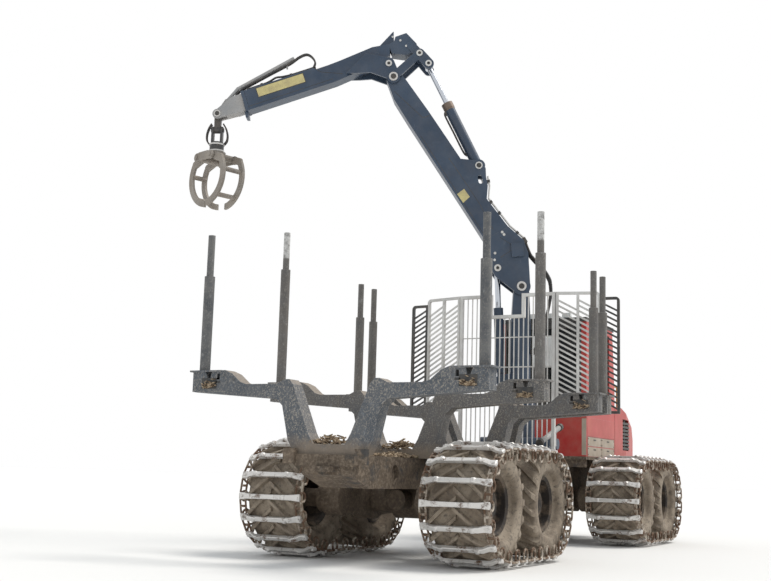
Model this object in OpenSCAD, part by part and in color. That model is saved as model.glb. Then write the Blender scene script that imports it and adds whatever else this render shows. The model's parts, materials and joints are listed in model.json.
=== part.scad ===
// Eight-wheel forestry forwarder: articulated carrier with bogie tracks,
// load bunks with stakes, a headboard gate and a knuckle-boom timber crane.
// Millimetres. +X is forward, +Y is left, +Z is up. The origin lies on the
// belly plate under the steering joint; heights below are above the ground.

/* [Wheels and tracks] */
// Radius of a tyre over its lugs
tyre_r = 655; // [640:5:665]
// Width of a tyre
tyre_w = 700; // [640:10:720]
// Radius of the tyre's inner edge
bead_r = 335; // [320:5:345]
// Distance between the two wheels of a bogie
wheel_pitch = 1520; // [1480:10:1560]
// Distance from the centreline to the middle of a track
track_y = 1190; // [1180:5:1230]
// Height of a track bar over the tyre
bar_h = 54; // [44:2:60]
// Width of a track bar along the track
bar_w = 70; // [60:5:80]
// Length of a track bar across the track
bar_len = 850; // [820:10:860]
// Number of bars in one track
bar_count = 26; // [20:2:28]
// Thickness of a side chain of the track
chain_t = 42; // [30:2:50]
// Height of a side chain, measured along the wheel's radius
chain_h = 60; // [40:5:70]

/* [Layout] */
// Distance from the steering joint forward to the front bogies
front_bogie_x = 1700; // [1680:10:1800]
// Distance from the steering joint back to the rear bogies
rear_bogie_x = 4310; // [4250:10:4400]
// Height of the underside of both frames
frame_z0 = 850; // [830:5:870]
// Height of the top of both frames
frame_z1 = 1210; // [1190:5:1240]
// Half width of the rear frame
frame_hw = 310; // [280:10:340]
// Distance from the steering joint back to the end of the rear frame
rear_end_x = 6440; // [6440:10:6600]
// Distance from the steering joint forward to the end of the front frame
front_end_x = 3720; // [3700:10:3900]
// Height of the belly plate's underside
belly_h = 600; // [560:10:620]
// Height of the roll axis
roll_z = 1030; // [1010:5:1040]

/* [Bunks] */
// Distance from the centreline to a stake
stake_y = 1780; // [1700:10:1800]
// Thickness of a bunk along the machine
bunk_t = 200; // [160:10:240]
// Height of a stake's seat
seat_z = 2150; // [2100:10:2200]
// Radius of a stake's lower tube
stake_r = 62; // [50:1:70]
// Radius of a stake's upper tube
stake_top_r = 42; // [30:1:45]

/* [Gate] */
// Distance from the steering joint back to the gate
gate_x = 1174; // [1150:10:1250]
// Half width of the gate's middle
gate_hw = 770; // [740:10:800]
// Height of the gate's top
gate_top = 3770; // [3600:10:3800]
// Height of the notch in the gate's top rail
notch_z = 3450; // [3300:10:3500]
// Half width of that notch
notch_hw = 240; // [180:10:300]
// Spacing of the gate's upright rods
rod_pitch = 76; // [60:2:120]

/* [Crane] */
// Distance from the steering joint back to the slewing axis
crane_x = 600; // [580:10:640]
// Direction of the crane, turned from straight ahead towards the left
slew_deg = 115; // [100:1:130]
// Height of the main boom's foot pin
boom_z = 3963; // [3900:10:4000]
// Length of the main boom from foot pin to knuckle pin
boom_len = 3968; // [3900:10:4050]
// Rise of the main boom over the horizontal
boom_deg = 58.2; // [50:0.1:62]
// Fall of the outer boom under the horizontal
stick_deg = 19.8; // [10:0.1:25]
// Width of the main boom
boom_w = 280; // [240:10:300]
// Radius of the large crane pins
pin_r = 45; // [35:1:50]
// Radial clearance of a pin in its bore
pin_fit = 0.05; // [0.02:0.01:0.1]

/* [Cab and hood] */
// Clearance between the cab's side and the tracks beside it
side_gap = 25; // [20:1:40]
// Distance from the steering joint forward to the cab's rear wall
cab_x0 = 430; // [420:10:460]
// Distance from the steering joint forward to the cab's front
cab_x1 = 2010; // [1950:10:2050]
// Height of the cab's floor
cab_z0 = 2000; // [1980:10:2050]
// Height of the underside of the cab's roof
cab_z1 = 3540; // [3450:10:3560]
// Thickness of the cab's walls
wall = 50; // [40:5:60]

/* [Hidden] */
$fn = 48;

// Wheel and track sizes that follow from the driving ones
seat_gap = 0.5;
wheel_z = tyre_r + seat_gap + bar_h;
chain_y = tyre_w / 2 + 5;
chain_r = tyre_r + 30;
rim_hw = 250;
case_y1 = track_y - tyre_w / 2 - 95;
case_y0 = case_y1 - 240;
cab_hw = track_y - bar_len / 2 - side_gap;
trunnion_r = 150;
diff_r = 225;
diff_gap = 5;
hub_r = 110;

// Pin circle of the steering joint
steer_pin_r = 60;
steer_eye_r = 150;
joint_z1 = 1200;

// Roll joint, tow bore, stakes and gate
roll_neck_r = 115;
tow_r = 26;
tow_reach = 130;
stake_fit = 0.5;
stake_foot_z = 1920;
stake_top_h = 500;
gate_t = 50;
gate_z0 = 1300;
rod_r = 9;
slat_pitch = 80;
slat_fall = 28;

// Deck, cab door, panes and hood
deck_z0 = 1330;
deck_z1 = 1380;
door_x0 = 640;
door_x1 = 1560;
door_z0 = 2060;
door_z1 = 3460;
door_gap = 8;
hinge_pin_r = 8;
hinge_r = 16;
hinge_y = 20;
hinge_z = [2250, 3200];
pane_t = 12;
front_lamp_y = [200, 560];
rear_lamp_y = [150, 400];
hood_t = 30;
hood_x0 = cab_x1 + 20;
hood_x1 = front_end_x - 60;
hood_z1 = 2270;
hood_pin_r = 14;
hood_pin_x = front_end_x - 30;
hood_pin_z = deck_z1 - 30;
rail_r = 18;
rail_h = 360;

// Slewing column, cheeks and cylinders
column_hw = 110;
spigot_r = 140;
cheek_gap = 5;
cheek_t = 35;
lift_barrel_len = 1130;
lift_r = 75;
lift_rod_r = 45;
lift_rod_len = 1025;
lift_eye_r = 70;
lift_pin_r = 32;
lift_start = 118;
stick_barrel_len = 1180;
stick_r = 85;
stick_rod_r = 42;
stick_pin_r = 38;
stick_slot_hw = stick_r + 7;

// Pins of the crane: [along, up] in the frame of the piece that carries them
lift_foot = [300, -1463];
lift_lug = [437, -172];
stick_lug = [2006, 427];
ab_a = [-604, 26];
ab_b = [-521, 237];
knuckle_d = [2, 234];
tip_local = [2890, 361];

// The same pins in the crane's own frame: [out, up]
function on_boom(p) = [p[0] * cos(boom_deg) - p[1] * sin(boom_deg),
    p[0] * sin(boom_deg) + p[1] * cos(boom_deg)];
function on_outer(p) = knuckle + [p[0] * cos(stick_deg) + p[1] * sin(stick_deg),
    -p[0] * sin(stick_deg) + p[1] * cos(stick_deg)];
knuckle = on_boom([boom_len, 0]);
lift_pin = on_boom(lift_lug);
stick_foot = on_boom(stick_lug);
stick_eye = on_outer(ab_a);
tip_pin = on_outer(tip_local);

// Outer boom's tube and the extension in it
tube_z0 = 240;
tube_z1 = 580;
tube_x0 = 900;
tube_x1 = 2420;
tube_hw = 130;
tube_wall = 20;
slide_gap = 5;
ext_hw = tube_hw - tube_wall - slide_gap;
ext_x0 = tube_x0 + 60;

// Link, rotator and grapple, below the tip pin
tip_pin_r = 35;
link_h = 250;
rotor_r = 115;
rotor_top = -460;
rotor_low = -625;
shaft_r = 50;
head_hw = 260;
jaw_pivot = [170, -735];
jaw_pin_r = 30;
jaw_mid = [0, -1050];
jaw_r = 500;
jaw_t = 95;
grapple_deg = 48;

// Lays one part down from the ground to the belly plate's level
module from_ground() {
    translate([0, 0, -belly_h]) children();
}

// Turns an outline drawn in X and Z into a plate between two values of Y
module side_plate(y0, y1) {
    translate([0, y1, 0]) rotate([90, 0, 0]) linear_extrude(y1 - y0) children();
}

// Turns an outline drawn in Y and Z into a plate between two values of X
module cross_plate(x0, x1) {
    translate([x0, 0, 0]) rotate([90, 0, 90]) linear_extrude(x1 - x0) children();
}

// A round bar between two values of Y
module bar_y(x, z, r, y0, y1) {
    translate([x, y0, z]) rotate([-90, 0, 0]) cylinder(r = r, h = y1 - y0);
}

// A round bar between two values of X
module bar_x(y, z, r, x0, x1) {
    translate([x0, y, z]) rotate([0, 90, 0]) cylinder(r = r, h = x1 - x0);
}

// A block given by its low and high corners
module block(a, b) {
    translate(a) cube([b[0] - a[0], b[1] - a[1], b[2] - a[2]]);
}

// A rectangle with round corners, given by its low and high corners
module round_rect(a, b, r) {
    translate([a[0] + r, a[1]]) square([b[0] - a[0] - 2 * r, b[1] - a[1]]);
    translate([a[0], a[1] + r]) square([b[0] - a[0], b[1] - a[1] - 2 * r]);
    for (x = [a[0] + r, b[0] - r], y = [a[1] + r, b[1] - r])
        translate([x, y]) circle(r);
}

// A flat link outline between two points, with a round end at each
module link_2d(p, q, rp, rq) {
    v = q - p;
    n = [-v[1], v[0]] / norm(v);
    polygon([p + n * rp, p - n * rp, q - n * rq, q + n * rq]);
    translate(p) circle(rp);
    translate(q) circle(rq);
}

// A bent round tube in the plane of X and Z, through a list of points
module tube_run(pts, r) {
    for (i = [0 : len(pts) - 2]) {
        v = pts[i + 1] - pts[i];
        translate([pts[i][0], 0, pts[i][1]]) rotate([0, atan2(v[0], v[1]), 0])
            cylinder(r = r, h = norm(v));
        if (i > 0) translate([pts[i][0], 0, pts[i][1]]) sphere(r = r + 2);
    }
}

// Rear frame: box beam with the roll housing in front
module rear_frame() {
    from_ground() color("#4a4640") difference() {
        union() {
            side_plate(-frame_hw, frame_hw) polygon([[-430, frame_z0], [-430, frame_z1], [-rear_end_x, frame_z1],
                [-rear_end_x, frame_z1 - 220], [-rear_end_x + 420, frame_z0],
                [-rear_bogie_x - 300, frame_z0]]);
            block([-rear_end_x - 30, -390, frame_z1 - 130], [-rear_end_x, 390, frame_z1]);
            for (s = [-1, 1])
                block([-rear_end_x - 70, s * 450 - 70, frame_z1 - 110],
                    [-rear_end_x, s * 450 + 70, frame_z1 + 60]);
            for (s = [-1, 1])
                block([-rear_end_x - 30, s * 400 - 60, frame_z1 - 110],
                    [-rear_end_x, s * 400 + 60, frame_z1 - 30]);
            block([-rear_end_x - 170, -120, frame_z1 - 190], [-rear_end_x, 120, frame_z1 - 130]);
        }
        bar_x(0, roll_z, roll_neck_r + pin_fit, -700, -420);
        bar_y(-rear_bogie_x, wheel_z, diff_r + diff_gap, -200, 200);
        bar_y(-rear_bogie_x, wheel_z, trunnion_r + 15 + diff_gap, -400, 400);
        translate([-rear_end_x - 110, 0, frame_z1 - 200]) cylinder(r = tow_r, h = 100);
        for (x = [-1900, -3300, -5400], s = [-1, 1])
            translate([x, s * (frame_hw - 40), (frame_z0 + frame_z1) / 2])
                rotate([-90 * s, 0, 0]) cylinder(r = 90, h = 60);
    }
}

// Axle with its saddle, differential and the trunnions of its two bogies
module axle(x) {
    from_ground() translate([x, 0, 0]) color("#45423d") {
        bar_y(0, wheel_z, trunnion_r + 15, -case_y0 + 5, case_y0 - 5);
        bar_y(0, wheel_z, trunnion_r, -case_y1, case_y1);
        bar_y(0, wheel_z, diff_r, -190, 190);
        bar_x(0, wheel_z, 120, -430, 430);
        for (s = [-1, 1])
            block([-170, s * 240 - 55, wheel_z], [170, s * 240 + 55, frame_z0]);
    }
}

module rear_axle() { axle(-rear_bogie_x); }

module front_axle() { axle(front_bogie_x); }

// Bogie case with its two hubs; s is the side, 1 for left
module bogie_case(x, s) {
    from_ground() translate([x, 0, wheel_z]) color("#3d3a36") mirror([0, s < 0 ? 1 : 0, 0])
        difference() {
            union() {
                side_plate(case_y0, case_y1) {
                    circle(250);
                    for (e = [-1, 1]) translate([e * wheel_pitch / 2, 0]) circle(205);
                    polygon([[-wheel_pitch / 2, -170], [0, -215], [wheel_pitch / 2, -170],
                        [wheel_pitch / 2, 170], [0, 215], [-wheel_pitch / 2, 170]]);
                }
                for (e = [-1, 1]) {
                    bar_y(e * wheel_pitch / 2, 0, hub_r, case_y1, track_y + 40);
                    bar_y(e * wheel_pitch / 2, 0, hub_r + 60, case_y1, case_y1 + 90);
                }
                bar_y(0, 0, trunnion_r + 50, case_y1, case_y1 + 8);
            }
            bar_y(0, 0, trunnion_r + pin_fit, case_y0 - 1, case_y1 + 1);
        }
}

module bogie_fl() { bogie_case(front_bogie_x, 1); }

module bogie_fr() { bogie_case(front_bogie_x, -1); }

module bogie_rl() { bogie_case(-rear_bogie_x, 1); }

module bogie_rr() { bogie_case(-rear_bogie_x, -1); }

// The two tyres of one bogie
module tyre_pair(x, s) {
    from_ground() color("#2e2c29") for (e = [-1, 1])
        translate([x + e * wheel_pitch / 2, s * track_y, wheel_z]) rotate([90, 0, 0])
            rotate_extrude() {
                translate([bead_r + seat_gap, -tyre_w / 2 + 60])
                    square([100, tyre_w - 120]);
                round_rect([bead_r + seat_gap + 50, -tyre_w / 2], [tyre_r, tyre_w / 2], 85);
            }
}

module tyres_fl() { tyre_pair(front_bogie_x, 1); }

module tyres_fr() { tyre_pair(front_bogie_x, -1); }

module tyres_rl() { tyre_pair(-rear_bogie_x, 1); }

module tyres_rr() { tyre_pair(-rear_bogie_x, -1); }

// The two rims of one bogie: barrel, dished disc and hub cap in one section
module rim_pair(x, s) {
    from_ground() color("#6b5a48") for (e = [-1, 1])
        translate([x + e * wheel_pitch / 2, s * track_y, wheel_z])
            rotate([s * -90, 0, 0]) rotate_extrude()
                polygon([[0, 40], [290, 40], [290, -rim_hw + 30], [bead_r, -rim_hw],
                    [bead_r, rim_hw], [295, rim_hw - 20], [295, 130], [250, 80], [165, 80],
                    [150, 180], [0, 180]]);
}

module rims_fl() { rim_pair(front_bogie_x, 1); }

module rims_fr() { rim_pair(front_bogie_x, -1); }

module rims_rl() { rim_pair(-rear_bogie_x, 1); }

module rims_rr() { rim_pair(-rear_bogie_x, -1); }

// Outline of a loop around both wheels of a bogie
module loop_2d(r) {
    square([wheel_pitch, 2 * r], center = true);
    for (e = [-1, 1]) translate([e * wheel_pitch / 2, 0]) circle(r);
}

// Place on the loop after a travelled length: [x, z, direction]
function loop_at(s, r) =
    let (half = PI * r, straight = wheel_pitch, a = s % (2 * half + 2 * straight))
    a < straight ? [-straight / 2 + a, r, 0]
    : a < straight + half ?
        let (t = (a - straight) / r * 180 / PI) [straight / 2 + r * sin(t), r * cos(t), -t]
    : a < 2 * straight + half ? [straight / 2 - (a - straight - half), -r, 180]
    : let (t = (a - 2 * straight - half) / r * 180 / PI)
        [-straight / 2 - r * sin(t), -r * cos(t), 180 - t];

// One bogie track: a side chain along each edge and the bars across the tyres
module track_loop(x, s) {
    loop_r = tyre_r + seat_gap;
    loop_len = 2 * PI * loop_r + 2 * wheel_pitch;
    from_ground() translate([x, s * track_y, wheel_z]) color("#8d8880") {
        for (e = [-1, 1])
            side_plate(e > 0 ? chain_y : -chain_y - chain_t, e > 0 ? chain_y + chain_t : -chain_y)
                difference() {
                    loop_2d(chain_r);
                    loop_2d(chain_r - chain_h);
                }
        for (i = [0 : bar_count - 1]) {
            p = loop_at((i + 0.5) * loop_len / bar_count, loop_r);
            translate([p[0], 0, p[1]]) rotate([0, -p[2], 0])
                block([-bar_w / 2, -bar_len / 2, 0], [bar_w / 2, bar_len / 2, bar_h]);
        }
    }
}

module track_fl() { track_loop(front_bogie_x, 1); }

module track_fr() { track_loop(front_bogie_x, -1); }

module track_rl() { track_loop(-rear_bogie_x, 1); }

module track_rr() { track_loop(-rear_bogie_x, -1); }

// Bunks: distance back from the steering joint and height of the stake tops
BUNK_X = 0;
BUNK_TOP = 1;
bunk_rows = [[6311, 3780], [4650, 4150], [2563, 3790], [2150, 3780]];

// Half of a bunk's outline in Y and Z
module bunk_half_2d() {
    u_z = frame_z1 + 110;
    difference() {
        polygon([[0, frame_z1], [440, frame_z1], [530, 1360], [620, 1740], [700, 1815],
            [stake_y + 90, 1900], [stake_y + 90, seat_z - 20], [stake_y - 90, seat_z - 20],
            [1640, 2000], [1600, 2140], [1420, 2150], [1320, 2110], [1200, 2010],
            [1120, 1985], [700, 1985], [600, 2035], [540, 2035], [490, 1980], [270, 1440],
            [200, u_z], [0, u_z]]);
        translate([1490, 2040]) square([40, 70]);
    }
}

// Four bunks with their stake seats
module bunks() {
    from_ground() color("#4b535c") for (b = bunk_rows)
        translate([-b[BUNK_X], 0, 0]) for (s = [-1, 1]) mirror([0, s < 0 ? 1 : 0, 0]) difference() {
            union() {
                cross_plate(-bunk_t / 2, bunk_t / 2) bunk_half_2d();
                translate([0, stake_y, 1900]) cylinder(r = 105, h = seat_z - 1900);
                block([-bunk_t / 2 - 15, stake_y - 320, seat_z - 20],
                    [bunk_t / 2 + 15, stake_y + 130, seat_z]);
            }
            translate([0, stake_y, stake_foot_z]) cylinder(r = stake_r + stake_fit, h = 300);
        }
}

// Eight stakes, each a lower tube with a thinner tube above
module stakes() {
    from_ground() color("#3f464d") for (b = bunk_rows, s = [-1, 1])
        translate([-b[BUNK_X], s * stake_y, 0]) {
            translate([0, 0, stake_foot_z])
                cylinder(r = stake_r, h = b[BUNK_TOP] - stake_top_h - stake_foot_z);
            translate([0, 0, b[BUNK_TOP] - stake_top_h]) cylinder(r = stake_top_r, h = stake_top_h);
        }
}

// Middle of the gate: frame with a notch for the boom, upright rods and ties
module gate_middle() {
    n = floor((gate_hw - gate_t) / rod_pitch);
    from_ground() translate([-gate_x, 0, 0]) color("#b5b3ad") {
        for (s = [-1, 1]) mirror([0, s < 0 ? 1 : 0, 0]) {
            block([-25, gate_hw - gate_t, gate_z0], [25, gate_hw, gate_top]);
            block([-25, notch_hw, gate_top - gate_t], [25, gate_hw, gate_top]);
            block([-25, notch_hw, notch_z], [25, notch_hw + gate_t, gate_top]);
            for (i = [0 : n - 1]) {
                y = (i + 0.5) * rod_pitch;
                translate([0, y, gate_z0 + 20])
                    cylinder(r = rod_r, h = (y < notch_hw + 20 ? notch_z : gate_top) - gate_z0 - 40);
            }
            block([-60, 180, frame_z1], [60, 300, gate_z0 + 40]);
        }
        block([-25, -notch_hw - gate_t, notch_z - gate_t], [25, notch_hw + gate_t, notch_z]);
        for (z = [gate_z0, 2650, 3100])
            block([-8, -gate_hw, z], [8, gate_hw, z + (z > gate_z0 ? 16 : gate_t)]);
    }
}

// Side panels of the gate: [inner y, inner x, outer y, outer x, low z, high z]
P_Y0 = 0;
P_X0 = 1;
P_Y1 = 2;
P_X1 = 3;
P_Z0 = 4;
P_Z1 = 5;
wing_rows = [[gate_hw + 5.3, -gate_x, 1400, -gate_x + 160, 1990, gate_top],
    [1396, -gate_x + 157, 1690, -gate_x + 190, 1970, gate_top - 85]];

// One side panel in its own plane: posts, rails and falling slats
module wing_panel(w, z0, z1, posts) {
    for (p = [0 : posts]) {
        q = p * (w - 40) / posts;
        block([-20, q, z0], [20, q + 40, z1 - (p == posts ? 60 : 0)]);
    }
    block([-20, 0, z0], [20, w, z0 + 40]);
    block([-20, 0, z1 - 40], [20, w - 60, z1]);
    translate([0, w - 60, z1 - 60]) cross_plate(-20, 20) difference() {
        circle(60);
        circle(20);
        translate([-100, -100]) square([100, 200]);
        translate([-100, -100]) square([200, 100]);
    }
    cell = (w - 40) / posts;
    drop = cell * tan(slat_fall);
    n = floor((z1 - z0 - drop - 120) / slat_pitch);
    for (p = [0 : posts - 1], i = [0 : n])
        translate([0, p * cell + 20, z0 + 60 + drop + i * slat_pitch])
            rotate([-slat_fall, 0, 0])
                block([-5, 0, -14], [5, cell / cos(slat_fall), 14]);
}

// Both side panels and the dark outer wings of the gate
module gate_wings() {
    from_ground() color("#a9a7a2") for (s = [-1, 1]) mirror([0, s < 0 ? 1 : 0, 0])
        for (r = wing_rows) {
            w = norm([r[P_Y1] - r[P_Y0], r[P_X1] - r[P_X0]]);
            a = atan2(r[P_X1] - r[P_X0], r[P_Y1] - r[P_Y0]);
            translate([r[P_X0], r[P_Y0], 0]) rotate([0, 0, -a])
                wing_panel(w, r[P_Z0], r[P_Z1], r[P_Y0] > gate_hw + 100 ? 1 : 2);
        }
}

// Foot of the crane: plate, slewing housing and its two rack tubes
module crane_base() {
    from_ground() translate([-crane_x, 0, 0]) color("#343a42") difference() {
        union() {
            block([-260, -300, frame_z1], [165, 300, frame_z1 + 60]);
            translate([0, 0, frame_z1 + 60]) cylinder(r = 235, h = 840);
            for (s = [-1, 1]) bar_y(s * 165, frame_z1 + 330, 85, -560, 560);
            translate([0, 0, frame_z1 + 800]) cylinder(r = 265, h = 120);
            for (a = [0 : 90 : 270]) rotate([0, 0, a + 45])
                block([200, -15, frame_z1 + 60], [300, 15, frame_z1 + 300]);
        }
        translate([0, 0, frame_z1 + 700]) cylinder(r = spigot_r + pin_fit, h = 300);
    }
}

// Centre joint: roll neck behind, clevis and steering pin in front
module centre_joint() {
    from_ground() color("#45423d") {
        bar_x(0, roll_z, roll_neck_r, -610, -300);
        bar_x(0, roll_z, 165, -425, -300);
        block([-320, -200, 640], [-200, 200, joint_z1]);
        for (z = [[belly_h + 30, 695], [joint_z1 - 55, joint_z1]]) {
            block([-320, -150, z[0]], [0, 150, z[1]]);
            translate([0, 0, z[0]]) cylinder(r = 150, h = z[1] - z[0]);
        }
        translate([0, 0, belly_h]) cylinder(r = 110, h = 40);
        translate([0, 0, belly_h]) cylinder(r = steer_pin_r, h = joint_z1 + 20 - belly_h);
    }
}

// Front frame with the steering eye, bumper and cross members
module front_frame() {
    from_ground() color("#45423d") difference() {
        union() {
            translate([0, 0, 705]) cylinder(r = steer_eye_r, h = joint_z1 - 65 - 705);
            side_plate(-140, 140) polygon([[80, 720], [480, 850], [480, joint_z1 - 65],
                [80, joint_z1 - 65]]);
            block([420, -380, frame_z0], [front_end_x - 120, 380, frame_z1]);
            block([front_end_x - 120, -700, frame_z0 + 60], [front_end_x, 700, frame_z1 + 60]);
            for (x = [480, 1150, 1880, 2600, 3350])
                block([x, -cab_hw + 40, frame_z1], [x + 110, cab_hw - 40, deck_z0]);
            block([cab_x0, -cab_hw, deck_z0], [front_end_x - 80, cab_hw, deck_z1]);
            block([front_end_x, -70, frame_z0 + 130], [front_end_x + tow_reach, 70, frame_z0 + 190]);
            for (s = [-1, 1]) side_plate(s > 0 ? 290 : -325, s > 0 ? 325 : -290) {
                translate([hood_pin_x, hood_pin_z]) circle(28);
                translate([hood_pin_x - 28, frame_z1 + 50]) square([56, hood_pin_z - frame_z1 - 50]);
            }
        }
        bar_y(hood_pin_x, hood_pin_z, hood_pin_r + pin_fit, -400, 400);
        bar_y(front_bogie_x, wheel_z, diff_r + diff_gap, -200, 200);
        bar_y(front_bogie_x, wheel_z, trunnion_r + 15 + diff_gap, -400, 400);
        translate([front_end_x + 70, 0, frame_z0 + 100]) cylinder(r = tow_r, h = 120);
        translate([0, 0, 600]) cylinder(r = steer_pin_r + pin_fit, h = 700);
    }
}

// Locker block that carries the cab
module cab_base() {
    from_ground() color("#a8322c") difference() {
        block([cab_x0, -cab_hw, deck_z1], [cab_x1, cab_hw, cab_z0]);
        for (s = [-1, 1], z = [1500, 1690])
            block([cab_x0 + 60, s * cab_hw - 8, z], [cab_x1 - 40, s * cab_hw + 8, z + 12]);
        for (s = [-1, 1])
            block([cab_x0 + 30, s * cab_hw - 10, deck_z1], [cab_x0 + 45, s * cab_hw + 10, cab_z0]);
    }
}

// Side view of the cab, shrunk by d on every side
module cab_side_2d(d) {
    polygon([[cab_x0 + d, cab_z0 + d], [cab_x1 - d, cab_z0 + d],
        [cab_x1 - d, cab_z0 + 500], [cab_x1 - 130 - d, cab_z1 - d + (d > 0 ? 100 : 0)],
        [cab_x0 + d, cab_z1 - d + (d > 0 ? 100 : 0)]]);
}

// Cab shell with window openings and a doorway on the left
module cab_frame() {
    from_ground() color("#b3261f") for (z = hinge_z) translate([door_x0 + 18, cab_hw + hinge_y, z]) {
        translate([0, 0, -20]) cylinder(r = hinge_pin_r, h = 140);
        for (e = [-36, 91]) {
            translate([0, 0, e]) cylinder(r = hinge_r, h = 35);
            block([-70, -hinge_y - 5, e], [-24, 0, e + 35]);
            block([-30, -14, e], [0, 0, e + 35]);
        }
    }
    from_ground() color("#b3261f") difference() {
        side_plate(-cab_hw, cab_hw) cab_side_2d(0);
        side_plate(-cab_hw + wall, cab_hw - wall) cab_side_2d(wall);
        block([door_x0, 0, door_z0], [door_x1, cab_hw + 10, door_z1]);
        block([cab_x0 - 10, -cab_hw + 110, 2450], [cab_x0 + wall + 10, cab_hw - 110, 3440]);
        block([cab_x0 + 130, -cab_hw - 10, 2420], [1700, -cab_hw + wall + 10, 3440]);
        block([cab_x1 - 300, -cab_hw + 90, 2300], [cab_x1 + 10, cab_hw - 90, 3440]);
    }
}

// Roof of the cab
module cab_roof() {
    from_ground() color("#2d2f31") {
        block([cab_x0 - 20, -cab_hw - 5, cab_z1], [cab_x1 - 60, cab_hw + 5, cab_z1 + 70]);
        block([cab_x0 + 200, -400, cab_z1 + 70], [cab_x0 + 900, 400, cab_z1 + 100]);
    }
}

// Fixed panes of the cab
module cab_glass() {
    from_ground() color("#7f8d93") {
        block([cab_x0 + 20, -cab_hw + 110.3, 2450.3], [cab_x0 + 20 + pane_t, cab_hw - 110.3, 3439.7]);
        block([cab_x0 + 130.3, -cab_hw + 20, 2420.3], [1699.7, -cab_hw + 20 + pane_t, 3439.7]);
        translate([cab_x1, 0, cab_z0 + 500]) rotate([0, -7.1, 0])
            block([-20 - pane_t, -cab_hw + 90.3, 8], [-20, cab_hw - 90.3, 930]);
        block([cab_x1 - 20 - pane_t, -cab_hw + 90.3, 2300.3], [cab_x1 - 20, cab_hw - 90.3, 2499.7]);
    }
}

// Door in the left wall, hinged at its rear edge
module cab_door() {
    from_ground() color("#b3261f") difference() {
        union() {
            block([door_x0 + door_gap, cab_hw - wall + 6, door_z0 + door_gap],
                [door_x1 - door_gap, cab_hw, door_z1 - door_gap]);
            for (z = hinge_z) {
                translate([door_x0 + 18, cab_hw + hinge_y, z]) cylinder(r = hinge_r, h = 90);
                block([door_x0 + 18, cab_hw - 10, z], [door_x0 + 60, cab_hw + hinge_y, z + 90]);
            }
            block([door_x1 - 70, cab_hw, 2600], [door_x1 - 40, cab_hw + 40, 2760]);
        }
        for (z = hinge_z) translate([door_x0 + 18, cab_hw + hinge_y, z - 1])
            cylinder(r = hinge_pin_r + pin_fit, h = 92);
        block([door_x0 + 90, cab_hw - wall - 10, 2440], [door_x1 - 90, cab_hw + 1, 3400]);
    }
}

// Pane of the door
module door_glass() {
    from_ground() color("#7f8d93")
        block([door_x0 + 90.3, cab_hw - 32, 2440.3], [door_x1 - 90.3, cab_hw - 32 + pane_t, 3399.7]);
}

// Operator's chair on its turntable, with arm consoles
module operator_seat() {
    from_ground() translate([1150, 0, cab_z0 + wall]) color("#33353a") {
        cylinder(r = 170, h = 260);
        block([-250, -250, 260], [250, 250, 390]);
        translate([-250, 0, 390]) rotate([0, -8, 0]) block([-60, -240, -20], [60, 240, 640]);
        for (s = [-1, 1]) {
            block([-150, s * 320 - 60, 480], [250, s * 320 + 60, 560]);
            block([-60, s * 290 - 45, 330], [60, s * 290 + 45, 500]);
        }
    }
}

// Work lamps along the front and rear edges of the roof
module work_lamps() {
    from_ground() color("#c9c9c4") for (s = [-1, 1], i = [0, 1]) {
        translate([cab_x1 - 110, s * front_lamp_y[i], cab_z1 + 70]) block([-30, -70, 0], [30, 70, 80]);
        translate([cab_x0 + 20, s * rear_lamp_y[i], cab_z1 + 70]) block([-30, -70, 0], [30, 70, 80]);
    }
}

// Engine as one plain block
module engine_block() {
    from_ground() color("#5a5a58") block([2350, -330, deck_z1], [3300, 330, 1900]);
}

// Side view of the hood, shrunk by d
module hood_side_2d(d) {
    polygon([[hood_x0 + d, deck_z1 + 8 - (d > 0 ? 50 : 0)], [hood_x1 - d, deck_z1 + 8 - (d > 0 ? 50 : 0)],
        [hood_x1 - d, 1760 - d / 2], [hood_x1 - 160 - d, 1980 - d], [hood_x0 + 620, hood_z1 - 60 - d],
        [hood_x0 + 380, hood_z1 - d], [hood_x0 + d, hood_z1 - d]]);
}

// Top view of the hood, shrunk by d
module hood_top_2d(d) {
    polygon([[hood_x0 + d, -cab_hw + d], [hood_x0 + 700, -cab_hw + d], [hood_x1 - d, -600 + d],
        [hood_x1 - d, 600 - d], [hood_x0 + 700, cab_hw - d], [hood_x0 + d, cab_hw - d]]);
}

// Solid of the hood's outline, shrunk by d
module hood_form(d) {
    intersection() {
        side_plate(-cab_hw, cab_hw) hood_side_2d(d);
        translate([0, 0, 1200]) linear_extrude(1200) hood_top_2d(d);
    }
}

// Engine hood, tilting forward, open below
module hood() {
    from_ground() color("#b3261f") difference() {
        hood_form(0);
        hood_form(hood_t);
        block([hood_x0 + 480, -cab_hw - 5, 1540], [hood_x0 + 1000, cab_hw + 5, 2080]);
        block([hood_x1 - 60, -420, 1480], [hood_x1 + 5, 420, 1720]);
    }
    from_ground() color("#b3261f") for (s = [-1, 1]) mirror([0, s < 0 ? 1 : 0, 0]) {
        side_plate(330, 360) {
            link_2d([hood_pin_x, hood_pin_z], [hood_x1 + 18, 1440], 30, 18);
            translate([hood_x1 - 5, 1395]) square([25, 60]);
        }
        bar_y(hood_pin_x, hood_pin_z, hood_pin_r, 285, 360);
    }
}

// Louvres in the sides and the front of the hood
module hood_grilles() {
    from_ground() color("#26282a") {
        for (s = [-1, 1], i = [0 : 7])
            translate([hood_x0 + 480.3, s * (cab_hw - 40), 1560 + i * 62])
                block([0, -8, 0], [519.4 , 8, 40]);
        for (i = [0 : 3])
            block([hood_x1 - 24, -419.7, 1500 + i * 55], [hood_x1 - 12, 419.7, 1530 + i * 55]);
        for (s = [-1, 1])
            block([hood_x0 + 725, s * (cab_hw - 46) - 4, 1540.3], [hood_x0 + 765, s * (cab_hw - 46) + 4, 2079.7]);
        for (y = [-200, 200])
            block([hood_x1 - 28, y - 15, 1480.3], [hood_x1 - 20, y + 15, 1719.7]);
    }
}

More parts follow.
